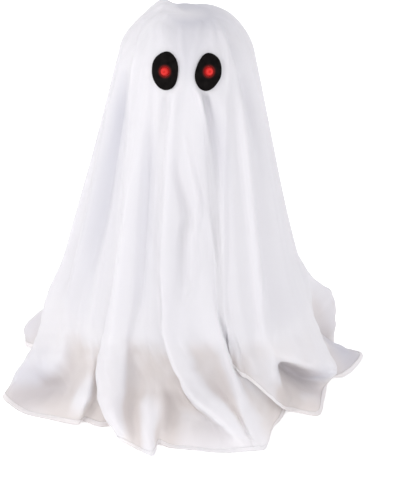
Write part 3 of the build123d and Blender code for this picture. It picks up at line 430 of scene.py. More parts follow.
def drape(g, slack, hold, steps):
    x = g.copy()
    home = g.copy()
    old = x.copy()
    rows, cols = x.shape[:2]
    w = smooth(336.0, 312.0, home[..., 2]) * smooth(0.05, 0.6, eye_mask(home))
    ring = np.linalg.norm(np.roll(x, -1, 1) - x, axis=-1)
    ring = ring * (1 + slack)
    ring2 = ring + np.roll(ring, -1, 1)
    ring4 = ring2 + np.roll(ring2, -2, 1)
    ring8 = ring4 + np.roll(ring4, -4, 1)
    down = np.linalg.norm(x[1:] - x[:-1], axis=-1)
    down2 = down[:-1] + down[1:]
    dg1 = np.linalg.norm(np.roll(x, -1, 1)[1:] - x[:-1], axis=-1)
    dg2 = np.linalg.norm(x[1:] - np.roll(x, -1, 1)[:-1], axis=-1)
    grow = 1 + 0.5 * (slack[1:] + slack[:-1])
    dg1, dg2 = dg1 * grow ** 0.5, dg2 * grow ** 0.5
    ii, jj = np.meshgrid(np.arange(rows), np.arange(cols), indexing="ij")
    flat_w = w.reshape(-1)

    def links(a_i, a_j, b_i, b_j, rest, stiff, least=None):
        a = (a_i * cols + a_j % cols).reshape(-1)
        b = (b_i * cols + b_j % cols).reshape(-1)
        wa, wb = flat_w[a], flat_w[b]
        tot = wa + wb
        ok = tot > 1e-6
        a, b, wa, wb, tot = a[ok], b[ok], wa[ok], wb[ok], tot[ok]
        return a, b, (wa / tot)[:, None], (wb / tot)[:, None], rest.reshape(-1)[ok], stiff, least

    batches = []
    for par in (0, 1):
        sel = np.arange(par, cols, 2)
        batches.append(links(ii[:, sel], jj[:, sel], ii[:, sel], jj[:, sel] + 1, ring[:, sel], 1.0))
    for par in (0, 1):
        sel = np.arange(par, rows - 1, 2)
        batches.append(links(ii[sel], jj[sel], ii[sel] + 1, jj[sel], down[sel], 1.0))
    for par in (0, 1):
        sel = np.arange(par, rows - 1, 2)
        batches.append(links(ii[sel], jj[sel], ii[sel] + 1, jj[sel] + 1, dg1[sel], 0.25))
        batches.append(links(ii[sel], jj[sel] + 1, ii[sel] + 1, jj[sel], dg2[sel], 0.25))
    for q in (0, 2):
        sel = np.array([j for j in range(cols) if j % 4 in (q, q + 1)])
        batches.append(links(ii[:, sel], jj[:, sel], ii[:, sel], jj[:, sel] + 2, ring2[:, sel], 0.7, 0.93))
    for q in (0, 4):
        sel = np.array([j for j in range(cols) if q <= j % 8 < q + 4])
        batches.append(links(ii[:, sel], jj[:, sel], ii[:, sel], jj[:, sel] + 4, ring4[:, sel], 0.6, 0.72))
    for q in (0, 8):
        sel = np.array([j for j in range(cols) if q <= j % 16 < q + 8])
        batches.append(links(ii[:, sel], jj[:, sel], ii[:, sel], jj[:, sel] + 8, ring8[:, sel], 0.3, 0.6))
    for q in (0, 2):
        sel = np.array([i for i in range(rows - 2) if i % 4 in (q, q + 1)])
        batches.append(links(ii[sel], jj[sel], ii[sel] + 2, jj[sel], down2[sel], 0.6, 0.97))
    dt = 1 / 120.0
    free = (w > 1e-6)[..., None]
    for step in range(steps):
        damp = 0.94
        vel = (x - old) * damp
        old = x.copy()
        x = x + np.where(free, vel + np.array([0, 0, -GRAVITY * dt * dt]), 0.0) * w[..., None]
        for it in range(3):
            f = x.reshape(-1, 3)
            for a, b, wa, wb, rest, stiff, least in batches:
                d = f[b] - f[a]
                ln = np.maximum(np.linalg.norm(d, axis=1), 1e-9)
                if least is None:
                    c = (ln - rest) / ln * stiff
                else:
                    c = np.minimum(ln - rest * least, 0.0) / ln * stiff
                d *= c[:, None]
                f[a] += d * wa
                f[b] -= d * wb
            x = f.reshape(x.shape)
            x += (home - x) * hold[..., None]
            # inside: head, lining, hoop
            r = np.hypot(x[..., 0], x[..., 1])
            need = least_radius(x[..., 2])
            push = np.where((r < need) & (w > 0), need / np.maximum(r, 1e-6), 1.0)
            x[..., 0] *= push
            x[..., 1] *= push
            # floor, with friction
            hit = x[..., 2] < 0.6
            x[..., 2] = np.where(hit, 0.6, x[..., 2])
            slide = (x - old)[..., :2] * 0.6
            x[..., :2] -= np.where(hit[..., None], slide, 0.0)
    return x


zz = grid[..., 2]
slack = np.interp(zz, [0, 40, 90, 150, 230, 290, 320], [0.02, 0.02, 0.02, 0.02, 0.015, 0.008, 0.0])
hold = np.interp(zz, [0, 3, 60, 100, 160, 300], [0.22, 0.22, 0.2, 0.14, 0.08, 0.06])
grid = drape(grid, slack, hold, 30)

# =========================================================================
# mesh helpers
# =========================================================================
def new_object(name, verts, faces, smooth_shade=True):
    me = bpy.data.meshes.new(name)
    me.from_pydata([tuple(v) for v in np.asarray(verts) * MM], [], faces)
    me.update()
    if smooth_shade:
        me.polygons.foreach_set("use_smooth", [True] * len(me.polygons))
    ob = bpy.data.objects.new(name, me)
    scene.collection.objects.link(ob)
    return ob


def grid_faces(rows, cols, pole=None):
    """Quads of a grid closed round its columns, facing outward."""
    f = []
    for i in range(rows - 1):
        for j in range(cols):
            k = (j + 1) % cols
            f.append((i * cols + j, (i + 1) * cols + j, (i + 1) * cols + k, i * cols + k))
    if pole is not None:
        for j in range(cols):
            f.append((pole, j, (j + 1) % cols))
    return f


def solid(ob, thick, offset=-1.0):
    m = ob.modifiers.new("thickness", "SOLIDIFY")
    m.thickness = thick * MM
    m.offset = offset
    m.use_even_offset = False
    bpy.context.view_layer.objects.active = ob
    ob.select_set(True)
    bpy.ops.object.modifier_apply(modifier="thickness")
    ob.select_set(False)
    return ob


def bm_fix(ob):
    import bmesh
    bm = bmesh.new()
    bm.from_mesh(ob.data)
    bmesh.ops.recalc_face_normals(bm, faces=bm.faces)
    bm.to_mesh(ob.data)
    bm.free()


def set_uv(ob, uv, turn):
    """Weave coordinates; faces that close the round run on past its end."""
    layer = ob.data.uv_layers.new(name="weave")
    idx = np.empty(len(ob.data.loops), np.int64)
    ob.data.loops.foreach_get("vertex_index", idx)
    co = uv[idx].copy()
    for f in ob.data.polygons:
        run = slice(f.loop_start, f.loop_start + f.loop_total)
        u = co[run, 0]
        if u.max() - u.min() > 0.5 * turn:
            co[run, 0] = np.where(u < 0.5 * turn, u + turn, u)
    layer.data.foreach_set("uv", co.astype(np.float32).ravel())


# =========================================================================
# materials
# =========================================================================
def material(name):
    m = bpy.data.materials.new(name)
    m.use_nodes = True
    nt = m.node_tree
    b = nt.nodes["Principled BSDF"]
    return m, nt, b


def node(nt, kind, **vals):
    n = nt.nodes.new(kind)
    for k, v in vals.items():
        if k in n.inputs:
            n.inputs[k].default_value = v
        else:
            setattr(n, k, v)
    return n


def ramp(nt, stops):
    n = nt.nodes.new("ShaderNodeValToRGB")
    e = n.color_ramp.elements
    while len(e) < len(stops):
        e.new(0.5)
    for el, (p, c) in zip(e, stops):
        el.position = p
        el.color = (*c, 1.0)
    return n


def cloth_material(name, colour, warm_shade_colour, sheer, translucent, thread_mm=0.45):
    """Woven thin cloth: fine threads in the UV directions, slubs, soft sheen;
    light passes through it, and a little is seen through it; painted shade,
    warm low down and in hollows and bluish in the valleys, darkens its colour."""
    m, nt, b = material(name)
    L = nt.links
    uv = node(nt, "ShaderNodeUVMap", uv_map="weave")
    # colour: faint unevenness of the yarn, and painted shade: darker and warmer
    # where one layer hangs free below the lining, for the shaded inside and the floor seen through it
    painted_warm_shade = node(nt, "ShaderNodeAttribute", attribute_name="painted_warm_shade")
    mixc = node(nt, "ShaderNodeMix", data_type="RGBA")
    mixc.inputs[6].default_value = (*colour, 1)
    mixc.inputs[7].default_value = (*warm_shade_colour, 1)
    L.new(painted_warm_shade.outputs["Fac"], mixc.inputs[0])
    # painted bluish shade: the colour is multiplied darker by this amount along valleys and in hollows
    painted_shade = node(nt, "ShaderNodeAttribute", attribute_name="painted_shade")
    gap = node(nt, "ShaderNodeMix", data_type="RGBA", blend_type="MULTIPLY")
    gap.inputs[7].default_value = (0.785, 0.792, 0.838, 1)
    L.new(painted_shade.outputs["Fac"], gap.inputs[0])
    L.new(mixc.outputs[2], gap.inputs[6])
    slub = node(nt, "ShaderNodeTexNoise", Scale=60.0, Detail=3.0)
    mp = node(nt, "ShaderNodeMapping")
    mp.inputs["Scale"].default_value = (1.0, 0.06, 1.0)
    L.new(uv.outputs[0], mp.inputs[0])
    L.new(mp.outputs[0], slub.inputs["Vector"])
    tone = node(nt, "ShaderNodeMix", data_type="RGBA", blend_type="MULTIPLY")
    rp = ramp(nt, [(0.3, (0.982, 0.982, 0.986)), (0.7, (1, 1, 1))])
    L.new(slub.outputs[0], rp.inputs[0])
    tone.inputs[0].default_value = 1.0
    L.new(gap.outputs[2], tone.inputs[6])
    L.new(rp.outputs[0], tone.inputs[7])
    L.new(tone.outputs[2], b.inputs["Base Color"])
    # threads
    freq = 2 * math.pi / 0.02
    wx = node(nt, "ShaderNodeTexWave", wave_type="BANDS", bands_direction="X", wave_profile="SIN", Distortion=0.4)
    wy = node(nt, "ShaderNodeTexWave", wave_type="BANDS", bands_direction="Y", wave_profile="SIN", Distortion=0.4)
    for wv in (wx, wy):
        wv.inputs["Scale"].default_value = 1000.0 / thread_mm / 20.0 * math.pi
        L.new(uv.outputs[0], wv.inputs["Vector"])
    add = node(nt, "ShaderNodeMath", operation="MULTIPLY")
    L.new(wx.outputs["Fac"], add.inputs[0])
    L.new(wy.outputs["Fac"], add.inputs[1])
    bump = node(nt, "ShaderNodeBump", Strength=0.25, Distance=0.00012)
    L.new(add.outputs[0], bump.inputs["Height"])
    long = node(nt, "ShaderNodeTexNoise", Scale=95.0, Detail=2.5, Roughness=0.45)
    run = node(nt, "ShaderNodeAttribute", attribute_name="flow")
    L.new(run.outputs["Vector"], long.inputs["Vector"])
    amount = node(nt, "ShaderNodeAttribute", attribute_name="pull")
    high = node(nt, "ShaderNodeMath", operation="MULTIPLY")
    L.new(long.outputs[0], high.inputs[0])
    L.new(amount.outputs["Fac"], high.inputs[1])
    pull = node(nt, "ShaderNodeBump", Strength=0.5, Distance=0.0016)
    L.new(high.outputs[0], pull.inputs["Height"])
    L.new(pull.outputs[0], bump.inputs["Normal"])
    L.new(bump.outputs[0], b.inputs["Normal"])
    b.inputs["Roughness"].default_value = 0.82
    b.inputs["Sheen Weight"].default_value = 0.7
    b.inputs["Sheen Roughness"].default_value = 0.35
    b.inputs["Specular IOR Level"].default_value = 0.25
    tr = node(nt, "ShaderNodeBsdfTranslucent")
    L.new(tone.outputs[2], tr.inputs["Color"])
    L.new(bump.outputs[0], tr.inputs["Normal"])
    mx = node(nt, "ShaderNodeMixShader")
    mx.inputs[0].default_value = translucent
    L.new(b.outputs[0], mx.inputs[1])
    L.new(tr.outputs[0], mx.inputs[2])
    out = nt.nodes["Material Output"]
    if sheer > 0:
        tp = node(nt, "ShaderNodeBsdfTransparent")
        m2 = node(nt, "ShaderNodeMixShader")
        m2.inputs[0].default_value = sheer
        L.new(mx.outputs[0], m2.inputs[1])
        L.new(tp.outputs[0], m2.inputs[2])
        L.new(m2.outputs[0], out.inputs["Surface"])
    else:
        L.new(mx.outputs[0], out.inputs["Surface"])
    return m


def plastic(name, colour, rough, grain=900.0, depth=0.00004, spec=0.5, metal=0.0, vary=0.06):
    """Moulded or drawn surface with a fine grain and slight tone changes."""
    m, nt, b = material(name)
    L = nt.links
    tex = node(nt, "ShaderNodeTexCoord")
    n1 = node(nt, "ShaderNodeTexNoise", Scale=grain, Detail=4.0)
    n2 = node(nt, "ShaderNodeTexNoise", Scale=35.0, Detail=3.0)
    for n in (n1, n2):
        L.new(tex.outputs["Object"], n.inputs["Vector"])
    lo = tuple(c * (1 - vary) for c in colour)
    hi = tuple(min(1.0, c * (1 + vary)) for c in colour)
    rp = ramp(nt, [(0.35, lo), (0.65, hi)])
    L.new(n2.outputs[0], rp.inputs[0])
    L.new(rp.outputs[0], b.inputs["Base Color"])
    rr = node(nt, "ShaderNodeMapRange")
    rr.inputs["To Min"].default_value = max(0.02, rough - 0.08)
    rr.inputs["To Max"].default_value = min(1.0, rough + 0.08)
    L.new(n1.outputs[0], rr.inputs["Value"])
    L.new(rr.outputs[0], b.inputs["Roughness"])
    bp = node(nt, "ShaderNodeBump", Strength=0.35, Distance=depth)
    L.new(n1.outputs[0], bp.inputs["Height"])
    L.new(bp.outputs[0], b.inputs["Normal"])
    b.inputs["Metallic"].default_value = metal
    b.inputs["Specular IOR Level"].default_value = spec
    return m


def felt_material():
    """Black felt: matte, matted short fibres, a painted red glow near the lamp."""
    m, nt, b = material("black_felt")
    L = nt.links
    tex = node(nt, "ShaderNodeTexCoord")
    fib = node(nt, "ShaderNodeTexNoise", Scale=2600.0, Detail=6.0, Roughness=0.7)
    big = node(nt, "ShaderNodeTexNoise", Scale=220.0, Detail=3.0)
    for n in (fib, big):
        L.new(tex.outputs["Object"], n.inputs["Vector"])
    rp = ramp(nt, [(0.3, (0.0028, 0.0024, 0.0024)), (0.7, (0.008, 0.0068, 0.0066))])
    L.new(big.outputs[0], rp.inputs[0])
    L.new(rp.outputs[0], b.inputs["Base Color"])
    bp = node(nt, "ShaderNodeBump", Strength=0.6, Distance=0.0002)
    L.new(fib.outputs[0], bp.inputs["Height"])
    L.new(bp.outputs[0], b.inputs["Normal"])
    b.inputs["Roughness"].default_value = 0.95
    b.inputs["Specular IOR Level"].default_value = 0.06
    b.inputs["Sheen Weight"].default_value = 0.015
    # painted glow: red emission on the felt round the lamp, standing in for the lamp's light
    geo = node(nt, "ShaderNodeNewGeometry")
    glow = None
    for s in (-1, 1):
        o, n, w, v = eye_frame(s)
        c = node(nt, "ShaderNodeVectorMath", operation="DISTANCE")
        L.new(geo.outputs["Position"], c.inputs[0])
        c.inputs[1].default_value = tuple((o + n * 2.0) * MM)
        mr = node(nt, "ShaderNodeMapRange", interpolation_type="SMOOTHERSTEP")
        mr.inputs["From Min"].default_value = 0.0078
        mr.inputs["From Max"].default_value = 0.0036
        L.new(c.outputs["Value"], mr.inputs["Value"])
        if glow is None:
            glow = mr
        else:
            mxn = node(nt, "ShaderNodeMath", operation="MAXIMUM")
            L.new(glow.outputs[0], mxn.inputs[0])
            L.new(mr.outputs[0], mxn.inputs[1])
            glow = mxn
    g = ramp(nt, [(0.0, (0, 0, 0)), (0.25, (0.010, 0.001, 0.001)), (0.6, (0.07, 0.006, 0.005)), (1.0, (0.22, 0.013, 0.012))])
    L.new(glow.outputs[0], g.inputs[0])
    L.new(g.outputs[0], b.inputs["Emission Color"])
    b.inputs["Emission Strength"].default_value = 1.0
    return m


def lamp_material():
    """Lit diffused red lamp: bright rim, darker chip in the middle, gloss skin."""
    m, nt, b = material("red_lamp")
    L = nt.links
    geo = node(nt, "ShaderNodeNewGeometry")
    field = None
    for s in (-1, 1):
        o, n, w, v = eye_frame(s)
        rel = node(nt, "ShaderNodeVectorMath", operation="SUBTRACT")
        L.new(geo.outputs["Position"], rel.inputs[0])
        rel.inputs[1].default_value = tuple(o * MM)
        cr = node(nt, "ShaderNodeVectorMath", operation="CROSS_PRODUCT")
        L.new(rel.outputs[0], cr.inputs[0])
        cr.inputs[1].default_value = tuple(n)
        ln = node(nt, "ShaderNodeVectorMath", operation="LENGTH")
        L.new(cr.outputs[0], ln.inputs[0])
        if field is None:
            field = ln
        else:
            mn = node(nt, "ShaderNodeMath", operation="MINIMUM")
            L.new(field.outputs["Value"], mn.inputs[0])
            L.new(ln.outputs["Value"], mn.inputs[1])
            field = mn
    mr = node(nt, "ShaderNodeMapRange")
    mr.inputs["From Min"].default_value = 0.0
    mr.inputs["From Max"].default_value = 0.004
    L.new(field.outputs[0], mr.inputs["Value"])
    g = ramp(nt, [(0.0, (0.54, 0.012, 0.010)), (0.2, (0.60, 0.014, 0.011)), (0.42, (0.76, 0.036, 0.030)),
                  (0.62, (0.64, 0.026, 0.022)), (0.80, (0.42, 0.014, 0.013)), (1.0, (0.22, 0.007, 0.007))])
    L.new(mr.outputs[0], g.inputs[0])
    L.new(g.outputs[0], b.inputs["Emission Color"])
    b.inputs["Emission Strength"].default_value = 1.0
    b.inputs["Base Color"].default_value = (0.10, 0.002, 0.002, 1)
    b.inputs["Roughness"].default_value = 0.22
    b.inputs["Specular IOR Level"].default_value = 0.12
    b.inputs["Coat Weight"].default_value = 0.03
    return m


M_SHROUD = cloth_material("sheer_cloth", (0.944, 0.9365, 0.956), (0.870, 0.826, 0.808), 0.28, 0.32)
M_LINING = cloth_material("lining_cloth", (0.93, 0.928, 0.945), (0.92, 0.91, 0.93), 0.0, 0.30, 0.6)
M_HEM = cloth_material("hem_cloth", (0.93, 0.92, 0.94), (0.90, 0.865, 0.86), 0.04, 0.16)
M_THREAD = plastic("sewing_thread", (0.90, 0.885, 0.91), 0.6, 2500.0, 0.00006, spec=0.3, vary=0.03)
M_FELT = felt_material()
M_LAMP = lamp_material()
LOOKS = {
    "spring_wire": plastic("spring_wire", (0.62, 0.62, 0.63), 0.28, 1500, 0.00002, metal=1.0),
    "black_felt": M_FELT,
    "red_lamp": M_LAMP,
    "white_plastic": plastic("white_plastic", (0.86, 0.86, 0.85), 0.48, vary=0.02),
    "black_plastic": plastic("black_plastic", (0.022, 0.022, 0.024), 0.5),
    "screw_steel": plastic("screw_steel", (0.66, 0.66, 0.67), 0.3, 1800, 0.00002, metal=1.0),
    "black_rubber": plastic("black_rubber", (0.025, 0.025, 0.025), 0.75, 700, 0.00006),
    "foot_rubber": plastic("foot_rubber", (0.36, 0.36, 0.36), 0.8, 700, 0.00006),
    "cell_wrap": plastic("cell_wrap", (0.08, 0.14, 0.22), 0.32),
    "contact_metal": plastic("contact_metal", (0.74, 0.73, 0.70), 0.26, 1500, 0.00002, metal=1.0),
    "switch_plastic": plastic("switch_plastic", (0.04, 0.04, 0.045), 0.45),
    "red_wire": plastic("red_wire", (0.55, 0.02, 0.02), 0.42, 500),
    "black_wire": plastic("black_wire", (0.02, 0.02, 0.02), 0.42, 500),
}
for sp in frame["record"]["subparts"]:
    look = LOOKS.get(sp["material_slot"])
    if look is not None:
        ob = NODES[sp["node"]]
        ob.data.materials.clear()
        ob.data.materials.append(look)

# =========================================================================
# shroud piece
# =========================================================================
pole = grid[0].mean(0)
pole[2] += 1.2
sh_verts = np.concatenate([grid.reshape(-1, 3), pole[None]])
faces = grid_faces(ROWS, NCOL, pole=ROWS * NCOL)
# the lamps come through the cloth
centres = np.array([sh_verts[list(f)].mean(0) for f in faces])
keep = np.ones(len(faces), bool)
for s in (-1, 1):
    o, n, w, v = eye_frame(s)
    d = centres - o
    along = d @ n
    rad = np.linalg.norm(d - along[:, None] * n, axis=1)
    keep &= ~((rad < 5.2) & (np.abs(along) < 12))
faces = [f for f, k in zip(faces, keep) if k]
shroud = new_object("shroud_cloth", sh_verts, faces)
seg_u = np.linalg.norm(np.roll(grid, -1, 1) - grid, axis=-1)
seg_v = np.linalg.norm(grid[1:] - grid[:-1], axis=-1)
len_v = np.concatenate([np.zeros((1, NCOL)), np.cumsum(seg_v, 0)])
uvs = np.zeros((len(sh_verts), 2))
around = np.concatenate([[0], np.cumsum(seg_u[-1])[:-1]]) / seg_u[-1].sum()
uvs[:-1, 0] = np.tile(around * seg_u[-1].sum(), ROWS) * MM
uvs[:-1, 1] = len_v.reshape(-1) * MM
set_uv(shroud, uvs, seg_u[-1].sum() * MM)
# run of the long wrinkles: round the figure and slowly down the cloth, dying
# out on the stretched crown
turn_r = seg_u[-1].sum() / (2 * math.pi)
flow = np.zeros((len(sh_verts), 3))
flow[:-1, 0] = np.tile(np.sin(2 * math.pi * around) * turn_r, ROWS) * MM
flow[:-1, 1] = np.tile(np.cos(2 * math.pi * around) * turn_r, ROWS) * MM
flow[:-1, 2] = 0.075 * uvs[:-1, 1]
fatt = shroud.data.attributes.new("flow", "FLOAT_VECTOR", "POINT")
fatt.data.foreach_set("vector", flow.astype(np.float32).ravel())
pull = np.append((smooth(14, 90, len_v) * (0.35 + 0.65 * smooth(70, 150, len_v))).reshape(-1), 0.0)
patt = shroud.data.attributes.new("pull", "FLOAT", "POINT")
patt.data.foreach_set("value", pull.astype(np.float32))


def ring_blur(a, n):
    for _ in range(n):
        a = (np.roll(a, 1, 1) + 2 * a + np.roll(a, -1, 1)) / 4
    return a


rad_all = np.hypot(grid[..., 0], grid[..., 1])
proud = rad_all - ring_blur(rad_all, 72)          # + on a fold, - in a hollow
hgt = grid[..., 2]
th_end = np.degrees(np.arctan2(grid[..., 0], -grid[..., 1]))
# painted warm shade: a darker, warmer colour in the hollows, low down near the hem and on the floor, for the shaded
# inside and the floor showing through one layer
foot = smooth(-42, -34, th_end) * smooth(-6, -12, th_end)
edge = np.interp(th_end, [-180, -110, -78, -52, -30, 0, 30, 60, 110, 180], [74, 72, 64, 68, 80, 82, 78, 72, 72, 74])
edge = edge + 2.2 * np.sin(np.radians(th_end) * 11 + 0.6) + 1.4 * np.sin(np.radians(th_end) * 23 + 2.0)
patch = 0.90 + 0.12 * np.sin(np.radians(th_end) * 9 + hgt / 17.0) + 0.08 * np.sin(np.radians(th_end) * 21 - hgt / 9.0 + 1.0)
broad = rad_all - ring_blur(rad_all, 600)
painted_warm_shade = smooth(edge, edge - 16.0, hgt) * smooth(2.5, -3.5, proud) + 0.75 * smooth(40, 12, hgt) * (1 - smooth(0.5, 4.5, proud))
painted_warm_shade = np.maximum(painted_warm_shade, smooth(edge - 3.0, edge - 18.0, hgt) * smooth(1.0, -5.0, broad))
painted_warm_shade = np.maximum(painted_warm_shade, 0.95 * smooth(16, 5, hgt) * (1 - foot)) * patch
painted_warm_shade *= 1 - 0.82 * smooth(-8, 0, th_end) * smooth(31, 24, th_end) * smooth(26, 10, hgt)
painted_warm_shade *= 1 - 0.5 * smooth(26, 32, th_end) * smooth(50, 42, th_end) * smooth(34, 48, hgt)
# round the sides and the back the light comes through more evenly, so less warm shade is painted there
turned = smooth(80, 115, np.abs(th_end))
turned = np.maximum(turned, 0.8 * smooth(66, 84, th_end))
painted_warm_shade = painted_warm_shade * (1 - 0.62 * turned) + 0.26 * turned * smooth(edge, edge - 30.0, hgt)
# painted shade: bluish darkening along the valleys beside the folds, under the right eye, in the low hollows, and at
# the dark tip and cave on the right; (height, angle) track, half width in mm, strength
PAINTED_SHADE_TRACKS = [
    ([(300, -63), (262, -61.5), (204, -63), (150, -64), (96, -65)], [5, 9, 12, 12, 9], [0.15, 0.78, 0.60, 0.50, 0.1]),
    ([(330, 52), (300, 53), (272, 56), (232, 58), (180, 58)], [3, 4, 5, 7, 8], [0.13, 0.13, 0.1, 0.06, 0]),
    ([(270, -27), (230, -26), (180, -24.5), (120, -24)], [4, 5, 6, 6], [0, 0.34, 0.36, 0.2]),
    ([(272, 144), (220, 144), (150, 143), (100, 143)], [5, 7, 8, 7], [0.03, 0.15, 0.17, 0.07]),
    ([(272, -160), (220, -160), (150, -160), (100, -160)], [5, 7, 8, 7], [0.03, 0.14, 0.17, 0.07]),
    ([(272, 100), (220, 99), (150, 98), (100, 98)], [5, 8, 9, 8], [0.03, 0.17, 0.2, 0.07]),
    ([(60, 91), (40, 92), (16, 94), (0, 96)], [10, 15, 21, 24], [0, 0.5, 1.0, 1.0]),
    ([(345, 12), (338, 6), (328, 1), (315, 0), (300, 2)], [20, 16, 11, 7, 6], [0.3, 0.3, 0.28, 0.26, 0.05]),
    ([(298, 15.5), (284, 17.5), (262, 21), (235, 22.5), (200, 22)], [2.5, 4, 6.5, 8, 7], [0, 0.15, 0.24, 0.22, 0.05]),
    ([(66, -104), (44, -105), (22, -107), (4, -108)], [8, 10, 12, 12], [0, 0.25, 0.34, 0.2]),
    ([(80, 109), (56, 110), (28, 111), (4, 112)], [7, 9, 10, 10], [0, 0.3, 0.36, 0.2]),
    ([(50, -69), (34, -66), (20, -67), (6, -67)], [12, 17, 20, 16], [0, 0.4, 0.6, 0.6]),
    ([(44, 52), (30, 59), (16, 66), (6, 66)], [8, 11, 13, 12], [0, 0.7, 0.85, 0.4]),
]
painted_shade = np.zeros_like(hgt)
for track, half, amp in PAINTED_SHADE_TRACKS:
    z = np.array([q[0] for q in track])[::-1]
    a = np.interp(hgt, z, np.array([q[1] for q in track])[::-1])
    w = np.interp(hgt, z, np.array(half)[::-1])
    h = np.interp(hgt, z, np.array(amp)[::-1], left=amp[-1], right=0)
    d = np.radians((th_end - a + 180) % 360 - 180) * rad_all / w
    painted_shade = np.maximum(painted_shade, h * np.exp(-0.5 * d * d) * smooth(z[0] - 25, z[0] + 1, hgt))
# painted shade on the crown, right of the pinched fold, where its shadow would fall
topx, topy = grid[..., 0], grid[..., 1]
painted_shade = np.maximum(painted_shade, 0.9 * np.exp(-0.5 * ((topx + 1.0) / np.where(topx < -1.0, 8.0, 20.0)) ** 2) * smooth(322, 340, hgt) * smooth(-44, -8, topy) * smooth(54, 34, topy))
catt = shroud.data.attributes.new("painted_shade", "FLOAT", "POINT")
catt.data.foreach_set("value", np.append(np.clip(painted_shade, 0, 1).reshape(-1), 0.0).astype(np.float32))
att = shroud.data.attributes.new("painted_warm_shade", "FLOAT", "POINT")
att.data.foreach_set("value", np.append(np.clip(painted_warm_shade, 0, 1).reshape(-1), 0.0).astype(np.float32))
shroud.data.materials.append(M_SHROUD)
solid(shroud, 0.5)
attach(shroud, "figure")
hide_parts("shroud")

# =========================================================================
# hem: the cut edge turned over as a narrow band, with a row of stitches
# =========================================================================
out_n = ring_normals(grid)
if out_n[ROWS // 2, 0] @ np.array([0, 1.0, 0]) < 0:
    out_n = -out_n
HEM_AT = [0.0, 0.5, 1.5, 2.6, 3.7, 4.5]
HEM_LIFT = [0.10, 0.34, 0.42, 0.42, 0.40, 0.24]


def from_hem(d):
    """Ring of points and normals d mm up the cloth from its edge."""
    pts, nor = np.empty((NCOL, 3)), np.empty((NCOL, 3))
    for j in range(NCOL):
        run = len_v[-1, j] - len_v[::-1, j]
        for k in range(3):
            pts[j, k] = np.interp(d, run, grid[::-1, j, k])
            nor[j, k] = np.interp(d, run, out_n[::-1, j, k])
    nor /= np.maximum(np.linalg.norm(nor, axis=1, keepdims=True), 1e-9)
    return pts, nor


band = []
for d, lift in zip(HEM_AT[::-1], HEM_LIFT[::-1]):
    pts, nor = from_hem(d)
    band.append(pts + nor * lift)
band = np.array(band)
hem = new_object("shroud_hem", band.reshape(-1, 3), grid_faces(len(HEM_AT), NCOL))
huv = np.zeros((len(HEM_AT) * NCOL, 2))
huv[:, 0] = np.tile(around * seg_u[-1].sum(), len(HEM_AT)) * MM
huv[:, 1] = np.repeat(np.array(HEM_AT[::-1]), NCOL) * MM
set_uv(hem, huv, seg_u[-1].sum() * MM)
# the hem gets the painted warm shade of the cloth's edge
hatt = hem.data.attributes.new("painted_warm_shade", "FLOAT", "POINT")
hatt.data.foreach_set("value", np.tile(np.clip(painted_warm_shade[-1], 0, 1), len(HEM_AT)).astype(np.float32))
hem.data.materials.append(M_HEM)
solid(hem, 0.3)
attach(hem, "figure")

line, line_n = from_hem(3.5)
line = line + line_n * 0.42
line_c = np.concatenate([line, line[:1]])
norm_c = np.concatenate([line_n, line_n[:1]])
run = np.concatenate([[0], np.cumsum(np.linalg.norm(np.diff(line_c, axis=0), axis=1))])


def at_run(t, table):
    return np.array([np.interp(t, run, table[:, k]) for k in range(3)])


sv, sf = [], []
PITCH, DASH = 3.0, 2.1
STATIONS = [(-0.5, 0.25), (-0.3, 0.9), (0.0, 1.0), (0.3, 0.9), (0.5, 0.25)]
for k in range(int(run[-1] / PITCH)):
    mid = (k + 0.5) * PITCH
    base = len(sv)
    for f, size in STATIONS:
        t = mid + f * DASH
        c, nn = at_run(t, line_c), at_run(t, norm_c)
        fwd = at_run(min(t + 0.4, run[-1]), line_c) - at_run(max(t - 0.4, 0.0), line_c)
        fwd /= max(np.linalg.norm(fwd), 1e-9)
        nn = nn - fwd * (nn @ fwd)
        nn /= max(np.linalg.norm(nn), 1e-9)
        acr = np.cross(nn, fwd)
        for ca, ch in ((-1.0, -0.35), (-0.7, 0.6), (0.0, 1.0), (0.7, 0.6), (1.0, -0.35)):
            sv.append(c + acr * ca * 0.24 * size + nn * (ch * 0.22 * size))
    for i in range(len(STATIONS) - 1):
        for j in range(5):
            a, b2 = base + i * 5 + j, base + i * 5 + (j + 1) % 5
            sf.append((a, b2, b2 + 5, a + 5))
    sf.append(tuple(base + j for j in range(4, -1, -1)))
    sf.append(tuple(base + 5 * (len(STATIONS) - 1) + j for j in range(5)))
stitches = new_object("hem_stitches", np.array(sv), sf)
bm_fix(stitches)
stitches.data.materials.append(M_THREAD)
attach(stitches, "figure")

# =========================================================================
# lining: an inner cone that follows the folds loosely, down to the hoop
# =========================================================================
LZ = np.concatenate([[343.0, 340.0, 335.0, 328.0, 320.0, 311.0, 300.0], np.linspace(290, 76, 54)])
lin = np.zeros((len(LZ), NCOL, 3))
step = np.arange(NCOL)
for i, z in enumerate(LZ):
    for j in range(NCOL):
        col = grid[:, j]
        r = np.interp(z, col[::-1, 2], np.hypot(col[::-1, 0], col[::-1, 1]))
        x = np.interp(z, col[::-1, 2], col[::-1, 0])
        y = np.interp(z, col[::-1, 2], col[::-1, 1])
        lin[i, j] = (x, y, z)
lr = np.hypot(lin[..., 0], lin[..., 1])
la = np.arctan2(lin[..., 0], -lin[..., 1])
bz = base_r(LZ)[:, None]
low = lr.copy()
for _ in range(6):
    low = np.minimum(low, (np.roll(low, 1, 1) + np.roll(low, -1, 1)) / 2)
off = 1.8 + 0.0 * bz
want = np.minimum(low - off, bz - 1.8 + 3.0)
head = 56.2 * np.sqrt(np.clip(1 - ((LZ[:, None] - CROWN_Z) / 40.7) ** 2, 0, 1)) + 0.7
inner = np.where(LZ[:, None] > 262, np.minimum(head, bz - 1.9), 0.0)
hoop = np.where(LZ[:, None] < 84, 105.0, 0.0)
want = np.maximum(np.maximum(want, inner), hoop)
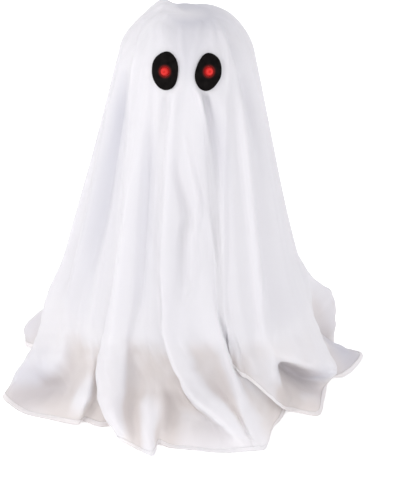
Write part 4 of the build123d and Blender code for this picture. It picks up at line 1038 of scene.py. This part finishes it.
want = np.where(LZ[:, None] > 330, np.sqrt(np.clip(1 - ((LZ[:, None] - CROWN_Z) / (CROWN_C - 2.0)) ** 2, 0, 1)) * (CROWN_A - 2.0), want)
lin[..., 0] = want * np.sin(la)
lin[..., 1] = -want * np.cos(la)
lpole = np.array([0, 0, 343.2])
lv = np.concatenate([lin.reshape(-1, 3), lpole[None]])
lining = new_object("lining_cloth", lv, grid_faces(len(LZ), NCOL, pole=len(LZ) * NCOL))
luv = np.zeros((len(lv), 2))
luv[:-1, 0] = np.tile(np.arange(NCOL) / NCOL * 0.66, len(LZ))
luv[:-1, 1] = np.repeat((345 - LZ) * MM, NCOL)
set_uv(lining, luv, 0.66)
lining.data.materials.append(M_LINING)
solid(lining, 0.4)
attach(lining, "figure")
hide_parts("lining")

# =========================================================================
# eye patches: felt ovals that follow the cloth, with a rounded cut edge
# =========================================================================
LEFT_EYE = [
    (1.8, 18.5), (6.8, 16.2), (10.4, 10.9), (11.6, 5.4), (11.6, -0.1), (10.9, -5.1),
    (9.2, -9.9), (6.0, -13.6), (1.2, -15.3), (-4.0, -14.2), (-8.4, -10.0), (-11.0, -4.4),
    (-11.6, 0.9), (-10.9, 7.0), (-8.3, 12.5), (-3.3, 17.0),
]
RIGHT_EYE = [
    (-2.0, 18.3), (3.0, 16.2), (7.0, 11.7), (9.6, 6.2), (10.5, 1.7), (9.6, -4.3),
    (6.6, -8.8), (2.5, -12.8), (-1.5, -14.7), (-5.0, -15.0), (-9.1, -12.8), (-11.8, -8.8),
    (-13.2, -3.3), (-13.1, 1.7), (-12.0, 7.7), (-10.0, 13.2), (-6.5, 17.0),
]


def on_cloth(o, n, w, v, x, y, lift):
    """Point of the cloth's outline above (x, y) of the eye plane, lifted."""
    p0 = o + x * w + y * v
    lo, hi = -30.0, 12.0
    for _ in range(40):
        mid = (lo + hi) / 2
        q = p0 + n * mid
        if math.hypot(q[0], q[1]) < float(base_r(q[2])) and q[2] < 345:
            lo = mid
        else:
            hi = mid
    q = p0 + n * lo
    e = 0.4
    g = np.array([q[0], q[1], 0.0])
    g /= np.linalg.norm(g)
    slope = (float(base_r(q[2] + e)) - float(base_r(q[2] - e))) / (2 * e)
    out = g - np.array([0, 0, slope])
    out /= np.linalg.norm(out)
    return q + out * lift


def eye_piece(name, s, pts, cad):
    o, n, w, v = eye_frame(s)
    ring = spline(np.array([(x, y, 0.0) for x, y in pts])[:, None, :], 6, True)[:, 0, :2]
    ang = np.unwrap(np.arctan2(ring[:, 1], ring[:, 0]))
    m = len(ring)
    # profile: (share of the way from the lamp hole to the edge, lift in mm)
    prof = [(0.0, 0.2), (0.0, 1.2), (0.01, 1.85), (0.05, 2.1), (0.25, 2.15), (0.5, 2.15), (0.75, 2.15), (0.9, 2.12),
            (0.955, 2.0), (0.985, 1.75), (1.0, 1.3), (1.0, 0.7), (0.99, 0.2), (0.7, 0.12), (0.35, 0.12)]
    verts = []
    for k, lift in prof:
        for x, y in ring:
            rr = math.hypot(x, y)
            h = 4.15 / rr
            f = h + (1 - h) * k
            verts.append(on_cloth(o, n, w, v, x * f, y * f, lift))
    fs = []
    q = len(prof)
    for i in range(q):
        for j in range(m):
            a, b = i * m + j, i * m + (j + 1) % m
            c, d = ((i + 1) % q) * m + (j + 1) % m, ((i + 1) % q) * m + j
            fs.append((a, b, c, d))
    ob = new_object(name, np.array(verts), fs)
    bm_fix(ob)
    ob.data.materials.append(M_FELT)
    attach(ob, "figure")
    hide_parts(cad)
    return ob


eye_piece("left_eye_felt", -1, [(x - 0.3 - (0.09 if y > 0 else 0.05) * y, y - 0.7 - 1.2 * float(smooth(5, 17, y))) for x, y in LEFT_EYE], "left_eye_patch")
eye_piece("right_eye_felt", 1, [(x + 0.85 + 3.2 * float(smooth(-2, 17, y)), y - 1.5 - 1.5 * float(smooth(5, 17, y))) for x, y in RIGHT_EYE], "right_eye_patch")

# =========================================================================
# sheet areas
# =========================================================================
def mesh_area(ob):
    return sum(p.area for p in ob.data.polygons)


print("shroud area", mesh_area(shroud) / 2, "lining area", mesh_area(lining) / 2, "tris", len(shroud.data.polygons) * 2)

# =========================================================================
# floor, world and lights
# =========================================================================
fm, nt, b = material("floor_white")
b.inputs["Base Color"].default_value = (0.96, 0.96, 0.96, 1)
b.inputs["Roughness"].default_value = 0.9
b.inputs["Specular IOR Level"].default_value = 0.0
b.inputs["Emission Color"].default_value = (1, 1, 1, 1)
b.inputs["Emission Strength"].default_value = 0.35
bpy.ops.mesh.primitive_plane_add(size=40.0, location=(0, 0, -0.0002))
floor = bpy.context.object
floor.name = "floor"
floor.data.materials.append(fm)

world = bpy.data.worlds.new("studio")
world.use_nodes = True
scene.world = world
bg = world.node_tree.nodes["Background"]
bg.inputs["Color"].default_value = (0.986, 0.978, 1.0, 1)
# the studio is a little brighter below the horizon, where the floor ends
wt = world.node_tree
way = wt.nodes.new("ShaderNodeTexCoord")
up = wt.nodes.new("ShaderNodeSeparateXYZ")
lit = wt.nodes.new("ShaderNodeMapRange")
lit.inputs["From Min"].default_value = -0.02
lit.inputs["From Max"].default_value = 0.0
lit.inputs["To Min"].default_value = 1.12
lit.inputs["To Max"].default_value = 0.90
wt.links.new(way.outputs["Generated"], up.inputs[0])
wt.links.new(up.outputs["Z"], lit.inputs["Value"])
wt.links.new(lit.outputs[0], bg.inputs["Strength"])


def area(name, loc, aim_at, size, power, colour):
    ld = bpy.data.lights.new(name, "AREA")
    ld.shape = "RECTANGLE"
    ld.size, ld.size_y = size
    ld.energy = power
    ld.color = colour
    ob = bpy.data.objects.new(name, ld)
    scene.collection.objects.link(ob)
    ob.location = loc
    ob.rotation_euler = (Vector(aim_at) - Vector(loc)).to_track_quat("-Z", "Y").to_euler()
    return ob


area("key", (-1.5, -1.45, 1.05), (0, 0, 0.22), (0.5, 0.5), 9.3, (1.0, 0.985, 0.97))
area("fill", (1.7, -1.5, 0.8), (0, 0, 0.2), (0.8, 0.8), 3.2, (0.98, 0.98, 1.0))
brow = area("brow", (-0.27, -0.30, 0.64), (-0.03, -0.03, 0.325), (0.25, 0.25), 0.32, (1.0, 0.99, 0.985))
brow.visible_camera = False
area("rim_left", (-1.6, 1.3, 0.6), (0, 0, 0.17), (0.8, 1.0), 2.0, (1.0, 0.99, 0.98))
area("rim_right", (1.7, 1.2, 0.6), (0, 0, 0.2), (0.8, 1.0), 4.0, (0.97, 0.97, 1.0))

scene.view_settings.view_transform = "Standard"
scene.view_settings.look = "None"
